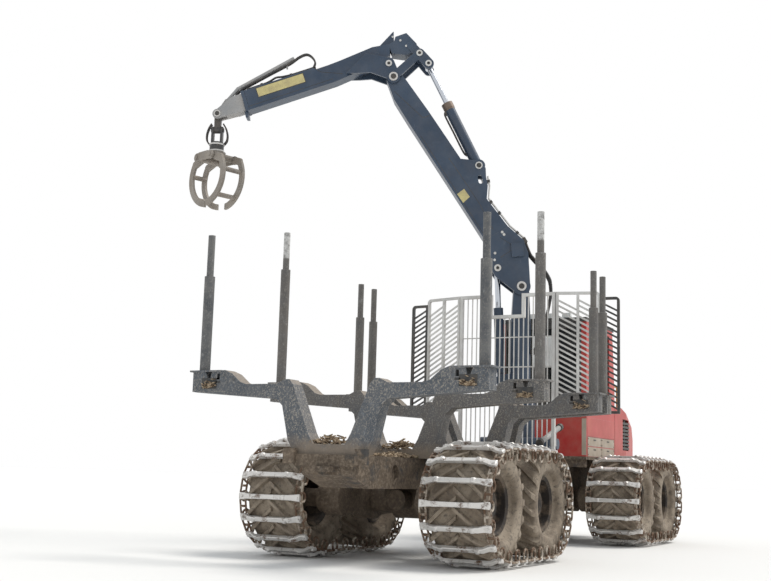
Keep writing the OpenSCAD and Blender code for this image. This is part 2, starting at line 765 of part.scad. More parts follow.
// Handrails along both edges of the hood's top
module side_rails() {
    from_ground() color("#d9a53a") for (s = [-1, 1]) {
        y = s * (cab_hw - 60);
        for (x = [hood_x0 + 60, hood_x0 + 340])
            translate([x, y, hood_z1]) cylinder(r = rail_r, h = rail_h);
        bar_x(y, hood_z1 + rail_h, rail_r, hood_x0 + 42, hood_x0 + 358);
    }
}

// Exhaust stack on the hood, behind the cab's front corner
module exhaust() {
    from_ground() translate([hood_x0 + 170, 480, hood_z1]) color("#5c5753") {
        cylinder(r = 65, h = 250);
        cylinder(r = 45, h = 360);
    }
}

// Carries one crane part from the crane's own frame to the machine
module at_crane() {
    translate([-crane_x, 0, boom_z - belly_h]) rotate([0, 0, slew_deg]) children();
}

// Turning column with the boom's foot pin and the lift cylinder's foot
module slew_column() {
    at_crane() color("#343a42") difference() {
        slew_body();
        bar_y(lift_foot[0], lift_foot[1], lift_pin_r + pin_fit, -200, 200);
    }
}

module slew_body() {
    union() {
        translate([0, 0, frame_z1 + 740 - boom_z]) cylinder(r = spigot_r, h = 200);
        translate([0, 0, frame_z1 + 925 - boom_z]) cylinder(r = 240, h = 70);
        translate([0, 0, frame_z1 + 995 - boom_z]) cylinder(r = 160, h = 1250);
        side_plate(-column_hw, column_hw) {
            polygon([[-148, -560], [148, -560], [118, 0], [-118, 0]]);
            circle(125);
        }
        bar_y(0, 0, pin_r, -column_hw - cheek_gap - cheek_t, column_hw + cheek_gap + cheek_t);
        for (s = [-1, 1]) side_plate(s > 0 ? 50 : -80, s > 0 ? 80 : -50)
            link_2d([100, lift_foot[1]], lift_foot, 110, 80);
    }
}

// Lift cylinder: barrel on the column
module lift_barrel() {
    at_crane() color("#343a42") lift_frame() difference() {
        union() {
            bar_y(0, 0, lift_eye_r, -45, 45);
            block([-50, -45, 0], [50, 45, lift_start + 10]);
            bar_y(0, 0, lift_pin_r, -95, 95);
            translate([0, 0, lift_start]) cylinder(r = lift_r, h = lift_barrel_len - lift_start);
        }
        translate([0, 0, 300]) cylinder(r = lift_rod_r + 0.2, h = lift_barrel_len);
    }
}

// Places what lies along the lift cylinder: +Z from its foot to its rod's eye
module lift_frame() {
    v = lift_pin - lift_foot;
    translate([lift_foot[0], 0, lift_foot[1]]) rotate([0, atan2(v[0], v[1]), 0]) children();
}

// Lift cylinder: rod and its eye
module lift_rod() {
    d = norm(lift_pin - lift_foot);
    at_crane() color("#c9ccd0") lift_frame() {
        translate([0, 0, d - lift_rod_len]) cylinder(r = lift_rod_r, h = lift_rod_len);
        bar_y(0, d, 62, -45, 45);
    }
}

// Places what is drawn along the main boom: X from foot pin to knuckle pin
module boom_frame() {
    rotate([0, -boom_deg, 0]) children();
}

// Main boom: box with a forked foot, a bracket for the stick cylinder and a tip eye
module main_boom() {
    inner = column_hw + cheek_gap;
    outer = inner + cheek_t;
    at_crane() color("#343d47") boom_frame() difference() {
        union() {
            side_plate(-outer, outer) {
                circle(140);
                polygon([[-60, 120], [0, -140], [340, -270], [470, -270], [640, -215],
                    [920, -115], [920, 313], [613, 408], [400, 365]]);
            }
            side_plate(-boom_w / 2, boom_w / 2) {
                polygon([[900, -115], [1500, -129], [boom_len - 768, -175], [boom_len - 318, -180],
                    [boom_len, -120], [boom_len, 120], [boom_len - 118, 150],
                    [boom_len - 468, 174], [boom_len - 778, 196], [2250, 235],
                    [2110, 420], [1920, 500], [1790, 430], [1650, 378], [1477, 255],
                    [900, 313]]);
                translate([boom_len, 0]) circle(120);
                translate(stick_lug) circle(100);
            }
        }
        side_plate(-inner, inner) {
            circle(180);
            polygon([[-300, -200], [0, -300], [600, -330], [660, -60], [300, 200], [-300, 260]]);
        }
        side_plate(-stick_slot_hw, stick_slot_hw)
            polygon([[1830, 250], [2130, 250], [2400, 700], [1830, 700]]);
        bar_y(stick_lug[0], stick_lug[1], stick_pin_r + pin_fit, -200, 200);
        bar_y(0, 0, pin_r + pin_fit, -400, 400);
        bar_y(boom_len, 0, pin_r + pin_fit, -400, 400);
        translate([1800, 0, 330]) rotate([0, -20, 0])
            side_plate(-400, 400) round_rect([-70, -35], [70, 35], 34);
    }
}

// Places what lies along the stick cylinder: +Z from its foot to its rod's eye
module stick_frame() {
    v = stick_eye - stick_foot;
    translate([stick_foot[0], 0, stick_foot[1]]) rotate([0, atan2(v[0], v[1]), 0]) children();
}

// Stick cylinder: barrel on the main boom
module stick_barrel() {
    at_crane() color("#343a42") stick_frame() difference() {
        union() {
            bar_y(0, 0, 75, 5 - stick_slot_hw, stick_slot_hw - 5);
            bar_y(0, 0, stick_pin_r, -boom_w / 2 - 10, boom_w / 2 + 10);
            translate([0, 0, 60]) cylinder(r = stick_r, h = stick_barrel_len - 60);
        }
        translate([0, 0, 200]) cylinder(r = stick_rod_r + 0.2, h = stick_barrel_len);
    }
}

// Stick cylinder: rod and its eye
module stick_rod() {
    d = norm(stick_eye - stick_foot);
    at_crane() color("#c9ccd0") stick_frame() {
        translate([0, 0, d - 1150]) cylinder(r = stick_rod_r, h = 1150);
        bar_y(0, d, 62, -55, 55);
    }
}

// Places what is drawn along the outer boom: X from the knuckle pin outwards
module outer_frame() {
    translate([knuckle[0], 0, knuckle[1]]) rotate([0, stick_deg, 0]) children();
}

// Outer boom: knuckle cheeks, link bars, rocker plates, head and the outer tube
module outer_boom() {
    cheek0 = boom_w / 2 + cheek_gap;
    at_crane() color("#343d47") outer_frame() difference() {
        union() {
            // tube and the box behind it
            side_plate(-tube_hw, tube_hw) polygon([[300, 300], [tube_x0, tube_z0],
                [tube_x1 + 20, tube_z0], [tube_x1, tube_z1], [1180, tube_z1], [1140, 535],
                [730, 556], [168, 603], [-120, 560], [-60, 380]]);
            // head plates over the knuckle
            side_plate(-tube_hw, tube_hw) polygon([[-100, 560], [-200, 583], [-243, 648],
                [-433, 651], [-533, 422], [-492, 302], [-300, 300], [-100, 400]]);
            side_plate(-20, 20) polygon([[100, 590], [-243, 783], [-255, 783], [-200, 600], [-60, 540]]);
            for (s = [-1, 1]) {
                y0 = s > 0 ? cheek0 : -cheek0 - cheek_t;
                side_plate(y0, y0 + cheek_t) {
                    link_2d([0, 0], knuckle_d, 105, 95);
                    polygon([[-90, 40], [95, 0], [330, 190], [520, 240], [700, 300], [300, 520],
                        [-80, 300]]);
                    link_2d([0, 0], ab_b, 70, 62);
                    link_2d(ab_a, ab_b, 85, 80);
                }
                side_plate(s > 0 ? tube_hw - 5 : -cheek0 - 1, s > 0 ? cheek0 + 1 : -tube_hw + 5) {
                    polygon([[330, 300], [520, 260], [700, 320], [300, 510], [100, 480], [100, 400]]);
                    link_2d(ab_b, [-440, 420], 70, 70);
                }
            }
            bar_y(0, 0, pin_r, -cheek0 - cheek_t - 15, cheek0 + cheek_t + 15);
        }
        side_plate(-tube_hw + tube_wall, tube_hw - tube_wall)
            polygon([[tube_x0 + 20, tube_z0 + tube_wall], [tube_x1 + 60, tube_z0 + tube_wall],
                [tube_x1 + 60, tube_z1 - tube_wall], [tube_x0 + 20, tube_z1 - tube_wall]]);
    }
}

// Extension: inner tube with a forked tip
module extension() {
    at_crane() color("#8b9299") outer_frame() difference() {
        union() {
            block([ext_x0, -ext_hw, tube_z0 + tube_wall + slide_gap],
                [tube_x1 + 160, ext_hw, tube_z1 - tube_wall - slide_gap]);
            side_plate(-ext_hw, ext_hw) {
                polygon([[tube_x1 + 60, 265], [tip_local[0] - 20, 290], [tip_local[0] - 20, 440],
                    [tube_x1 + 160, 555], [tube_x1 + 60, 555]]);
                translate(tip_local) circle(80);
            }
        }
        side_plate(-55, 55) {
            translate(tip_local) circle(150);
            translate(tip_local) square([400, 120], center = true);
        }
        bar_y(tip_local[0], tip_local[1], pin_r - 10 + pin_fit, -200, 200);
    }
}

// Hose bar of the extension, a bent tube with a hook
module hose_bar() {
    at_crane() color("#8b9299") outer_frame() {
        tube_run([[2690, 545], [2456, 690], [1428, 889]], 28);
        tube_run([[1570, 840], [1590, 745]], 14);
        side_plate(-32, 32) polygon([[2600, 547.4], [2800, 468.1], [2790, 505], [2700, 575], [2620, 580]]);
    }
}

// Places what hangs from the tip pin, plumb
module at_tip() {
    at_crane() translate([tip_pin[0], 0, tip_pin[1]]) children();
}

// Link between the tip and the rotator
module tip_link() {
    at_tip() color("#3a3d40") {
        bar_y(0, 0, tip_pin_r, -ext_hw - 20, ext_hw + 20);
        side_plate(-45, 45) {
            circle(60);
            polygon([[-55, 0], [55, 0], [50, -link_h], [-50, -link_h]]);
        }
        bar_x(0, -link_h, 55, -50, 50);
        bar_x(0, -link_h, tip_pin_r, -105, 105);
    }
}

// Rotator, hung on the link's cross pin
module rotator() {
    at_tip() color("#3a3d40") difference() {
        union() {
            for (s = [-1, 1]) cross_plate(s > 0 ? 55 : -90, s > 0 ? 90 : -55) {
                translate([0, -link_h]) circle(60);
                translate([-60, rotor_top]) square([120, -link_h - rotor_top]);
            }
            translate([0, 0, rotor_top - 25]) cylinder(r = rotor_r - 15, h = 26);
            translate([0, 0, rotor_low]) cylinder(r = rotor_r, h = rotor_top - 25 - rotor_low);
            translate([0, 0, rotor_low - 45]) cylinder(r = shaft_r, h = 50);
        }
        bar_x(0, -link_h, tip_pin_r + pin_fit, -200, 200);
    }
}

// Places what turns with the rotator
module at_grapple() {
    at_tip() rotate([0, 0, grapple_deg]) children();
}

// Head of the grapple: flange, end plates, roof and the jaws' two pins
module grapple_head() {
    at_grapple() color("#77706a") {
        difference() {
            union() {
                translate([0, 0, rotor_low - 35]) cylinder(r = rotor_r + 35, h = 30);
                block([-head_hw + 5, -110, rotor_low - 50], [head_hw - 5, 110, rotor_low - 34]);
            }
            translate([0, 0, rotor_low - 60]) cylinder(r = shaft_r + pin_fit, h = 100);
        }
        for (s = [-1, 1]) cross_plate(s > 0 ? head_hw - 30 : -head_hw, s > 0 ? head_hw : -head_hw + 30) {
            polygon([[-110, rotor_low - 34], [110, rotor_low - 34], [230, jaw_pivot[1] + 45],
                [200, jaw_pivot[1] - 60], [-200, jaw_pivot[1] - 60], [-230, jaw_pivot[1] + 45]]);
            for (t = [-1, 1]) translate([t * jaw_pivot[0], jaw_pivot[1]]) circle(70);
        }
        for (t = [-1, 1])
            bar_x(t * jaw_pivot[0], jaw_pivot[1], jaw_pin_r, -head_hw - 20, head_hw + 20);
    }
}

// One jaw opening towards side t, its tines at the places in xs
module jaw(t, xs) {
    inner = head_hw - 35;
    at_grapple() color("#77706a") mirror([0, t < 0 ? 1 : 0, 0]) difference() {
        union() {
            bar_x(jaw_pivot[0], jaw_pivot[1], 55, -inner, inner);
            for (x = xs) cross_plate(x - 22, x + 22) {
                link_2d(jaw_pivot, jaw_mid + [370, 250], 55, 60);
                difference() {
                    translate(jaw_mid) circle(jaw_r);
                    translate(jaw_mid) circle(jaw_r - jaw_t);
                    translate(jaw_mid) rotate(34) square([1000, 1000]);
                    translate(jaw_mid + [-1000, -600]) square([1060, 1200]);
                }
            }
            bar_x(jaw_mid[0] + 425, jaw_mid[1] + 60, 38, xs[0], xs[1]);
            bar_x(jaw_mid[0] + 300, jaw_mid[1] - 340, 38, xs[0], xs[1]);
        }
        bar_x(jaw_pivot[0], jaw_pivot[1], jaw_pin_r + pin_fit, -400, 400);
    }
}

module jaw_near() { jaw(1, [-190, 190]); }

module jaw_far() { jaw(-1, [-125, 125]); }

rear_frame();
rear_axle();
bunks();
stakes();
gate_middle();
gate_wings();
crane_base();
centre_joint();
front_frame();
front_axle();
bogie_fl();
tyres_fl();
rims_fl();
track_fl();
bogie_fr();
tyres_fr();
rims_fr();
track_fr();
bogie_rl();
tyres_rl();
rims_rl();
track_rl();
bogie_rr();
tyres_rr();
rims_rr();
track_rr();
cab_base();
cab_frame();
cab_roof();
cab_glass();
cab_door();
door_glass();
operator_seat();
work_lamps();
engine_block();
hood();
hood_grilles();
side_rails();
exhaust();
slew_column();
lift_barrel();
lift_rod();
main_boom();
stick_barrel();
stick_rod();
outer_boom();
extension();
hose_bar();
tip_link();
rotator();
grapple_head();
jaw_near();
jaw_far();
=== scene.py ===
"""Looks of the forestry forwarder: worn paint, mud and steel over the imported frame.

Metres, in the frame's own axes: +X forward, +Y left, +Z up. The ground lies at GROUND.
"""

import json
import math
import random

import bpy
from mathutils import Matrix, Vector


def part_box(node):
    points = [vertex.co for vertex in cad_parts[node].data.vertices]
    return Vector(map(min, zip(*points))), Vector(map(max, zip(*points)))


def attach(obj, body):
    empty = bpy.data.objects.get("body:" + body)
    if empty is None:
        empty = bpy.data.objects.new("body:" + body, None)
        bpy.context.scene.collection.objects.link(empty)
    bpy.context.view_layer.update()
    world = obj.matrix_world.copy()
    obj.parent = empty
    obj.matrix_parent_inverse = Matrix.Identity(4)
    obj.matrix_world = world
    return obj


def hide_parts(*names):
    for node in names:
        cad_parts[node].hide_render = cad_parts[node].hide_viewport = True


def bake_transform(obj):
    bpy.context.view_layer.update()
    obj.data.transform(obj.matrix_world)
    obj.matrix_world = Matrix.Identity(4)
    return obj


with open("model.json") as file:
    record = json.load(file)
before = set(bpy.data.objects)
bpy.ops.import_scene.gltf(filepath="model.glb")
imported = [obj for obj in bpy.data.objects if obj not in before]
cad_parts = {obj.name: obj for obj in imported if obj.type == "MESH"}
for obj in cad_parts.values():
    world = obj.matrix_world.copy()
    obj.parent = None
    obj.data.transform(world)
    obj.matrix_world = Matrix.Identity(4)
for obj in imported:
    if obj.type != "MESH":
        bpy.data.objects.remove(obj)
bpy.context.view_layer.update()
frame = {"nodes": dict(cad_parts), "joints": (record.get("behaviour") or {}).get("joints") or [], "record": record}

# Height of the ground under the origin, which lies on the belly plate
GROUND = -0.6

# Camera: place, direction and lens, as fitted to the photo
CAMERA_AT = (-17.238, -6.310, GROUND + 1.022)
CAMERA_YAW = 27.628
CAMERA_PITCH = 9.112
CAMERA_ROLL = 1.676
CAMERA_LENS = 53.24


def set_camera():
    """A camera whose yaw turns from +X towards +Y, then pitches up and rolls."""
    yaw, pitch, roll = (math.radians(a) for a in (CAMERA_YAW, CAMERA_PITCH, CAMERA_ROLL))
    ahead = Vector((math.cos(yaw) * math.cos(pitch), math.sin(yaw) * math.cos(pitch), math.sin(pitch)))
    level = Vector((math.sin(yaw), -math.cos(yaw), 0))
    upright = level.cross(ahead)
    right = level * math.cos(roll) + upright * math.sin(roll)
    top = -level * math.sin(roll) + upright * math.cos(roll)
    data = bpy.data.cameras.new("camera")
    data.lens = CAMERA_LENS
    data.sensor_width = 36
    data.clip_end = 400
    camera = bpy.data.objects.new("camera", data)
    camera.matrix_world = Matrix.Translation(CAMERA_AT) @ Matrix(
        (right, top, -ahead)).transposed().to_4x4()
    bpy.context.scene.collection.objects.link(camera)
    bpy.context.scene.camera = camera


class Shader:
    """A material's node tree, with short calls for the nodes that this scene uses."""

    def __init__(self, name):
        self.material = bpy.data.materials.new(name)
        self.material.use_nodes = True
        self.tree = self.material.node_tree
        self.tree.nodes.clear()
        out = self.tree.nodes.new("ShaderNodeOutputMaterial")
        self.surface = self.tree.nodes.new("ShaderNodeBsdfPrincipled")
        self.link(self.surface.outputs[0], out.inputs[0])
        self.place = self.tree.nodes.new("ShaderNodeTexCoord").outputs["Object"]

    def link(self, a, b):
        self.tree.links.new(a, b)

    def put(self, socket, value):
        """A socket takes another node's output or a plain value."""
        if isinstance(value, bpy.types.NodeSocket):
            self.link(value, socket)
        elif isinstance(value, (tuple, list)) and len(value) == 3 and socket.type == "RGBA":
            socket.default_value = (*value, 1)
        else:
            socket.default_value = value

    def noise(self, scale, detail, rough, stretch=(1, 1, 1), shift=0.0):
        """Fractal noise from 0 to 1 in the object's own space."""
        mapping = self.tree.nodes.new("ShaderNodeMapping")
        self.link(self.place, mapping.inputs["Vector"])
        mapping.inputs["Scale"].default_value = stretch
        mapping.inputs["Location"].default_value = (shift, shift * 0.7, -shift)
        node = self.tree.nodes.new("ShaderNodeTexNoise")
        self.link(mapping.outputs[0], node.inputs["Vector"])
        node.inputs["Scale"].default_value = scale
        node.inputs["Detail"].default_value = detail
        node.inputs["Roughness"].default_value = rough
        return node.outputs[0]

    def step(self, value, low, high, to_low=0.0, to_high=1.0):
        """A smooth step of value between low and high."""
        node = self.tree.nodes.new("ShaderNodeMapRange")
        node.interpolation_type = "SMOOTHSTEP"
        self.put(node.inputs["Value"], value)
        node.inputs["From Min"].default_value = low
        node.inputs["From Max"].default_value = high
        node.inputs["To Min"].default_value = to_low
        node.inputs["To Max"].default_value = to_high
        return node.outputs[0]

    def math(self, what, a, b=0.0):
        """One sum. What it adds, multiplies or subtracts is held within 0 and 1."""
        node = self.tree.nodes.new("ShaderNodeMath")
        node.operation = what
        node.use_clamp = what in ("ADD", "MULTIPLY", "SUBTRACT")
        self.put(node.inputs[0], a)
        self.put(node.inputs[1], b)
        return node.outputs[0]

    def mix(self, share, a, b):
        """A colour between a and b, by a share from 0 to 1."""
        node = self.tree.nodes.new("ShaderNodeMix")
        node.data_type = "RGBA"
        self.put(node.inputs["Factor"], share)
        self.put(node.inputs[6], a)
        self.put(node.inputs[7], b)
        return node.outputs[2]

    def axis(self, which):
        """One coordinate at rest: 0 is X, 1 is Y and 2 is Z."""
        node = self.tree.nodes.new("ShaderNodeSeparateXYZ")
        self.link(self.place, node.inputs[0])
        return node.outputs[which]

    def height(self):
        return self.axis(2)

    def inside(self, value, low, high, soft=0.002):
        """1 where the value lies between low and high, else 0."""
        rise = self.step(value, low - soft, low)
        fall = self.step(value, high, high - soft)
        return self.math("MULTIPLY", rise, fall)

    def facing_up(self):
        """How far the surface faces up, from -1 to 1."""
        geometry = self.tree.nodes.new("ShaderNodeNewGeometry")
        node = self.tree.nodes.new("ShaderNodeSeparateXYZ")
        self.link(geometry.outputs["Normal"], node.inputs[0])
        return node.outputs[2]

    def edges(self, radius):
        """Near 1 along the outer edges and corners of the surface, 0 on its flats."""
        bevel = self.tree.nodes.new("ShaderNodeBevel")
        bevel.samples = 4
        bevel.inputs["Radius"].default_value = radius
        geometry = self.tree.nodes.new("ShaderNodeNewGeometry")
        dot = self.tree.nodes.new("ShaderNodeVectorMath")
        dot.operation = "DOT_PRODUCT"
        self.link(bevel.outputs[0], dot.inputs[0])
        self.link(geometry.outputs["Normal"], dot.inputs[1])
        return self.step(dot.outputs["Value"], 0.99, 0.86)

    def bump(self, height, strength, distance):
        """Relief by a height from 0 to 1, as deep as distance."""
        node = self.tree.nodes.new("ShaderNodeBump")
        node.inputs["Strength"].default_value = strength
        node.inputs["Distance"].default_value = distance
        self.put(node.inputs["Height"], height)
        self.link(node.outputs[0], self.surface.inputs["Normal"])

    def finish(self, color, rough, metallic=0.0):
        """Sets what the surface looks like, and gives the material."""
        self.put(self.surface.inputs["Base Color"], color)
        self.put(self.surface.inputs["Roughness"], rough)
        self.put(self.surface.inputs["Metallic"], metallic)
        return self.material


# Colours of dirt, rust and bare steel, a near-black for painted shade, and how wide an edge is worn
MUD = (0.150, 0.112, 0.078)
MUD_PALE = (0.330, 0.262, 0.195)
MUD_DARK = (0.060, 0.043, 0.030)
RUST = (0.135, 0.060, 0.030)
BARE = (0.42, 0.41, 0.40)
PAINTED_SHADE = (0.030, 0.032, 0.034)
EDGE_R = 0.012


def worn_paint(name, paint, faded, rough, dust, wear, mud_top, scratches, shade_where=None):
    """Paint that is faded in patches, dusty on top, worn bare along edges and muddy low down, and near-black as
    painted shade where a shade mask is given.
    """
    s = Shader(name)
    patches = s.noise(1.7, 5, 0.6)
    color = s.mix(s.step(patches, 0.35, 0.7), paint, faded)
    # Painted shade: near-black over the places that the given mask marks
    if shade_where:
        color = s.mix(shade_where(s), color, PAINTED_SHADE)
    fine = s.noise(60, 5, 0.7)
    scuffs = s.noise(9, 8, 0.75, stretch=(1, 1, 0.35), shift=3)
    scuff = s.math("MULTIPLY", s.step(scuffs, 0.60, 0.72), scratches)
    color = s.mix(scuff, color, tuple(0.5 * a + 0.5 * b for a, b in zip(faded, BARE)))
    edge = s.math("MULTIPLY", s.edges(EDGE_R), s.step(s.noise(14, 6, 0.7, shift=9), 0.35, 0.6))
    edge = s.math("MULTIPLY", edge, wear)
    color = s.mix(edge, color, BARE)
    rusty = s.math("MULTIPLY", s.step(s.noise(23, 6, 0.7, shift=5), 0.64, 0.74), wear)
    color = s.mix(rusty, color, RUST)
    settled = s.step(s.facing_up(), 0.1, 0.9)
    grime = s.math("MULTIPLY", s.step(s.noise(5, 6, 0.65, shift=1), 0.3, 0.75), dust)
    grime = s.math("ADD", grime, s.math("MULTIPLY", settled, dust))
    color = s.mix(grime, color, MUD_PALE)
    low = s.math("ADD", s.height(), s.math("MULTIPLY", s.noise(3, 6, 0.7, shift=7), 0.9))
    low = s.step(low, mud_top + 0.75, mud_top + 0.35)
    color = s.mix(s.math("MULTIPLY", low, 0.85), color, s.mix(s.noise(8, 5, 0.6), MUD, MUD_PALE))
    s.bump(s.math("ADD", fine, s.math("MULTIPLY", low, s.noise(30, 6, 0.7))), 0.18, 0.004)
    coated = s.math("ADD", grime, low)
    return s.finish(color, s.step(coated, 0.0, 0.7, rough, 0.85), s.math("MULTIPLY", edge, 0.6))


# The gate's outermost panels start here, as a distance from the middle
OUTER_PANEL_Y = 1.400

# The cab's inner faces: back of its rear posts, front end, and half widths at the posts and the walls
CAB_REAR_X = 0.474
CAB_FRONT_X = 1.965
CAB_POST_Y = 0.655
CAB_WALL_Y = 0.693


def outer_panel_shade(s):
    """Painted shade: where the gate's outermost panels lie, to be painted near-black."""
    return s.step(s.math("ABSOLUTE", s.axis(1)), OUTER_PANEL_Y - 0.002, OUTER_PANEL_Y + 0.001)


def cab_inside_shade(s):
    """Painted shade: the cab's inside and its rear wall between the corner posts, to be painted near-black."""
    across = s.math("ABSOLUTE", s.axis(1))
    rear = s.math("MULTIPLY", s.inside(across, -1, CAB_POST_Y), s.inside(s.axis(0), 0, CAB_REAR_X))
    inner = s.math("MULTIPLY", s.inside(across, -1, CAB_WALL_Y),
                   s.inside(s.axis(0), CAB_REAR_X, CAB_FRONT_X))
    return s.math("MAXIMUM", rear, inner)


# Slate paint: brown from here forward, bare on the tallest stakes' tips, muddy below a height
BROWN_FROM = (-5.7, -5.1)
BROWN_FILM = (0.145, 0.128, 0.110)
STAKE_TIP_Z = (3.19, 3.22)
STAKE_TIP = (0.62, 0.61, 0.59)
MUD_LINE_Z = (1.00, 0.82)


def splashed_steel(name, paint, faded, splash, share):
    """Slate paint rubbed and splashed all over with fine dried mud, browner ahead and low down."""
    s = Shader(name)
    color = s.mix(s.step(s.noise(2.2, 6, 0.7), 0.35, 0.65), paint, faded)
    film = s.step(s.noise(4.5, 7, 0.7, shift=12), 0.2, 0.7, 0.2, 0.75)
    color = s.mix(s.math("MULTIPLY", s.step(s.axis(0), *BROWN_FROM), film), color, BROWN_FILM)
    worn_off = s.step(s.noise(20, 6, 0.7), 0.25, 0.6)
    color = s.mix(s.math("MULTIPLY", s.step(s.height(), *STAKE_TIP_Z), worn_off), color, STAKE_TIP)
    rubbed = s.step(s.noise(26, 9, 0.8, stretch=(1, 1, 0.5), shift=3), 0.55, 0.63)
    color = s.mix(s.math("MULTIPLY", rubbed, 0.5), color, tuple(min(1, 2.3 * c) for c in faded))
    drops = s.step(s.noise(48, 8, 0.8, shift=6), 0.565 - 0.1 * share, 0.61 - 0.1 * share)
    where = s.step(s.noise(1.6, 5, 0.7, shift=8), 0.25, 0.65, 0.35, 1.0)
    color = s.mix(s.math("MULTIPLY", s.math("MULTIPLY", drops, where), 0.75), color, splash)
    settled = s.math("MULTIPLY", s.step(s.facing_up(), 0.2, 0.9), 0.6)
    color = s.mix(settled, color, MUD_PALE)
    specks = s.step(s.noise(34, 7, 0.75, shift=11), 0.66, 0.72, 0, 0.7)
    color = s.mix(specks, color, RUST)
    # Edges worn bare and paler: partly real wear, partly a painted highlight along them
    bare = s.math("MULTIPLY", s.edges(EDGE_R), s.step(s.noise(12, 6, 0.7, shift=9), 0.4, 0.6))
    color = s.mix(s.math("MULTIPLY", bare, 0.7), color, BARE)
    low = s.math("ADD", s.height(), s.math("MULTIPLY", s.noise(6, 6, 0.7, shift=7), 0.35))
    color = s.mix(s.step(low, *MUD_LINE_Z, 0, 0.8), color, s.mix(s.noise(8, 5, 0.6), MUD, MUD_PALE))
    s.bump(s.noise(60, 6, 0.7), 0.3, 0.004)
    return s.finish(color, 0.62)


def muddy(name, under, cover, pale):
    """A part caked with mud, with the part's own colour showing through."""
    s = Shader(name)
    big = s.noise(2.3, 7, 0.65)
    small = s.noise(26, 8, 0.72, shift=4)
    clods = s.noise(75, 6, 0.7, shift=2)
    mud = s.mix(s.step(big, 0.3, 0.72), MUD_DARK, MUD)
    mud = s.mix(s.math("MULTIPLY", s.step(small, 0.42, 0.66), pale), mud, MUD_PALE)
    mud = s.mix(s.step(clods, 0.62, 0.72, 0, 0.5), mud, MUD_DARK)
    bare = s.step(s.noise(4.2, 7, 0.7, shift=8), 0.5 * cover + 0.12, 0.5 * cover + 0.27)
    color = s.mix(bare, mud, under)
    relief = s.math("ADD", s.math("MULTIPLY", small, 0.6), s.math("MULTIPLY", clods, 0.3))
    s.bump(relief, 0.8, 0.012)
    return s.finish(color, s.step(small, 0.3, 0.7, 0.72, 0.95))


def track_steel(name):
    """Bare steel rubbed bright in patches and along its edges, with dried mud and rust between."""
    s = Shader(name)
    bright = s.mix(s.noise(7, 6, 0.7), (0.60, 0.585, 0.56), (0.86, 0.845, 0.82))
    dark = s.mix(s.noise(30, 6, 0.7, shift=3), MUD, RUST)
    worn = s.step(s.noise(6.5, 8, 0.75, shift=6), 0.645, 0.51)
    edge = s.edges(0.008)
    share = s.math("ADD", s.math("MULTIPLY", worn, 0.9), edge)
    color = s.mix(share, dark, bright)
    s.bump(s.noise(55, 6, 0.7), 0.35, 0.004)
    return s.finish(color, s.step(share, 0, 1, 0.85, 0.34), s.math("MULTIPLY", share, 0.6))


def link_steel(name):
    """Links and rings of the tracks: brown mud and rust, rubbed pale in patches."""
    s = Shader(name)
    dark = s.mix(s.noise(11, 6, 0.7, shift=3), MUD, RUST)
    pale = s.mix(s.noise(40, 5, 0.7), (0.28, 0.22, 0.16), (0.62, 0.57, 0.49))
    share = s.step(s.noise(9, 7, 0.72, shift=6), 0.46, 0.62)
    s.bump(s.noise(70, 6, 0.7), 0.5, 0.004)
    return s.finish(s.mix(share, dark, pale), s.step(share, 0, 1, 0.85, 0.5), 0.15)


def rubber_tyre(name):
    """Forestry tyre under dried mud, darker where the rubber shows."""
    s = Shader(name)
    small = s.noise(22, 8, 0.72)
    clods = s.noise(90, 6, 0.7, shift=2)
    patches = s.step(s.noise(2.6, 6, 0.65, shift=5), 0.3, 0.62)
    dust = s.mix(patches, (0.175, 0.135, 0.097), (0.345, 0.285, 0.218))
    rubber = s.mix(s.noise(9, 5, 0.6, shift=8), (0.050, 0.043, 0.037), (0.110, 0.092, 0.076))
    share = s.math("ADD", s.step(small, 0.28, 0.52), s.math("MULTIPLY", s.edges(0.01), 0.4))
    color = s.mix(s.math("MULTIPLY", share, 0.93), rubber, dust)
    color = s.mix(s.step(clods, 0.62, 0.72, 0, 0.4), color, MUD_DARK)
    wet = s.math("MULTIPLY", s.step(s.noise(4.2, 7, 0.7, shift=9), 0.50, 0.64), 0.55)
    color = s.mix(wet, color, (0.105, 0.080, 0.058))
    s.bump(s.math("ADD", s.math("MULTIPLY", small, 0.6), s.math("MULTIPLY", clods, 0.4)), 0.7, 0.01)
    return s.finish(color, 0.9)


def plain(name, color, rough, metallic=0.0, grain=60.0, dust=0.25):
    """A simple finish with fine grain and a film of dust."""
    s = Shader(name)
    shade = s.mix(s.noise(grain * 0.2, 5, 0.6), color, tuple(min(1, c * 1.25 + 0.01) for c in color))
    film = s.math("MULTIPLY", s.step(s.noise(6, 6, 0.7, shift=2), 0.35, 0.75), dust)
    shade = s.mix(film, shade, MUD_PALE)
    s.bump(s.noise(grain, 4, 0.6), 0.25, 0.002)
    return s.finish(shade, s.step(film, 0, 0.5, rough, 0.8), metallic)


def chrome_rod(name):
    """Bright cylinder rod with faint streaks along it; its bluish tint is a painted reflection of the sky."""
    s = Shader(name)
    streaks = s.noise(18, 5, 0.6, stretch=(1, 1, 0.1))
    s.bump(s.noise(200, 3, 0.5), 0.05, 0.0005)
    # Painted reflection: the bluish tint stands in for the sky seen in the rod
    return s.finish(s.mix(s.step(streaks, 0.5, 0.8), (0.52, 0.55, 0.60), (0.40, 0.39, 0.38)), 0.16, 1.0)


def dusty_glass(name):
    """Dark cab glass under a thin uneven film of dust."""
    s = Shader(name)
    film = s.step(s.noise(5, 7, 0.7), 0.35, 0.75)
    s.surface.inputs["Transmission Weight"].default_value = 0.55
    s.surface.inputs["IOR"].default_value = 1.5
    s.bump(s.noise(3, 2, 0.5), 0.02, 0.002)
    shade = s.mix(film, (0.030, 0.036, 0.038), (0.085, 0.080, 0.072))
    return s.finish(shade, s.step(film, 0, 1, 0.05, 0.35))


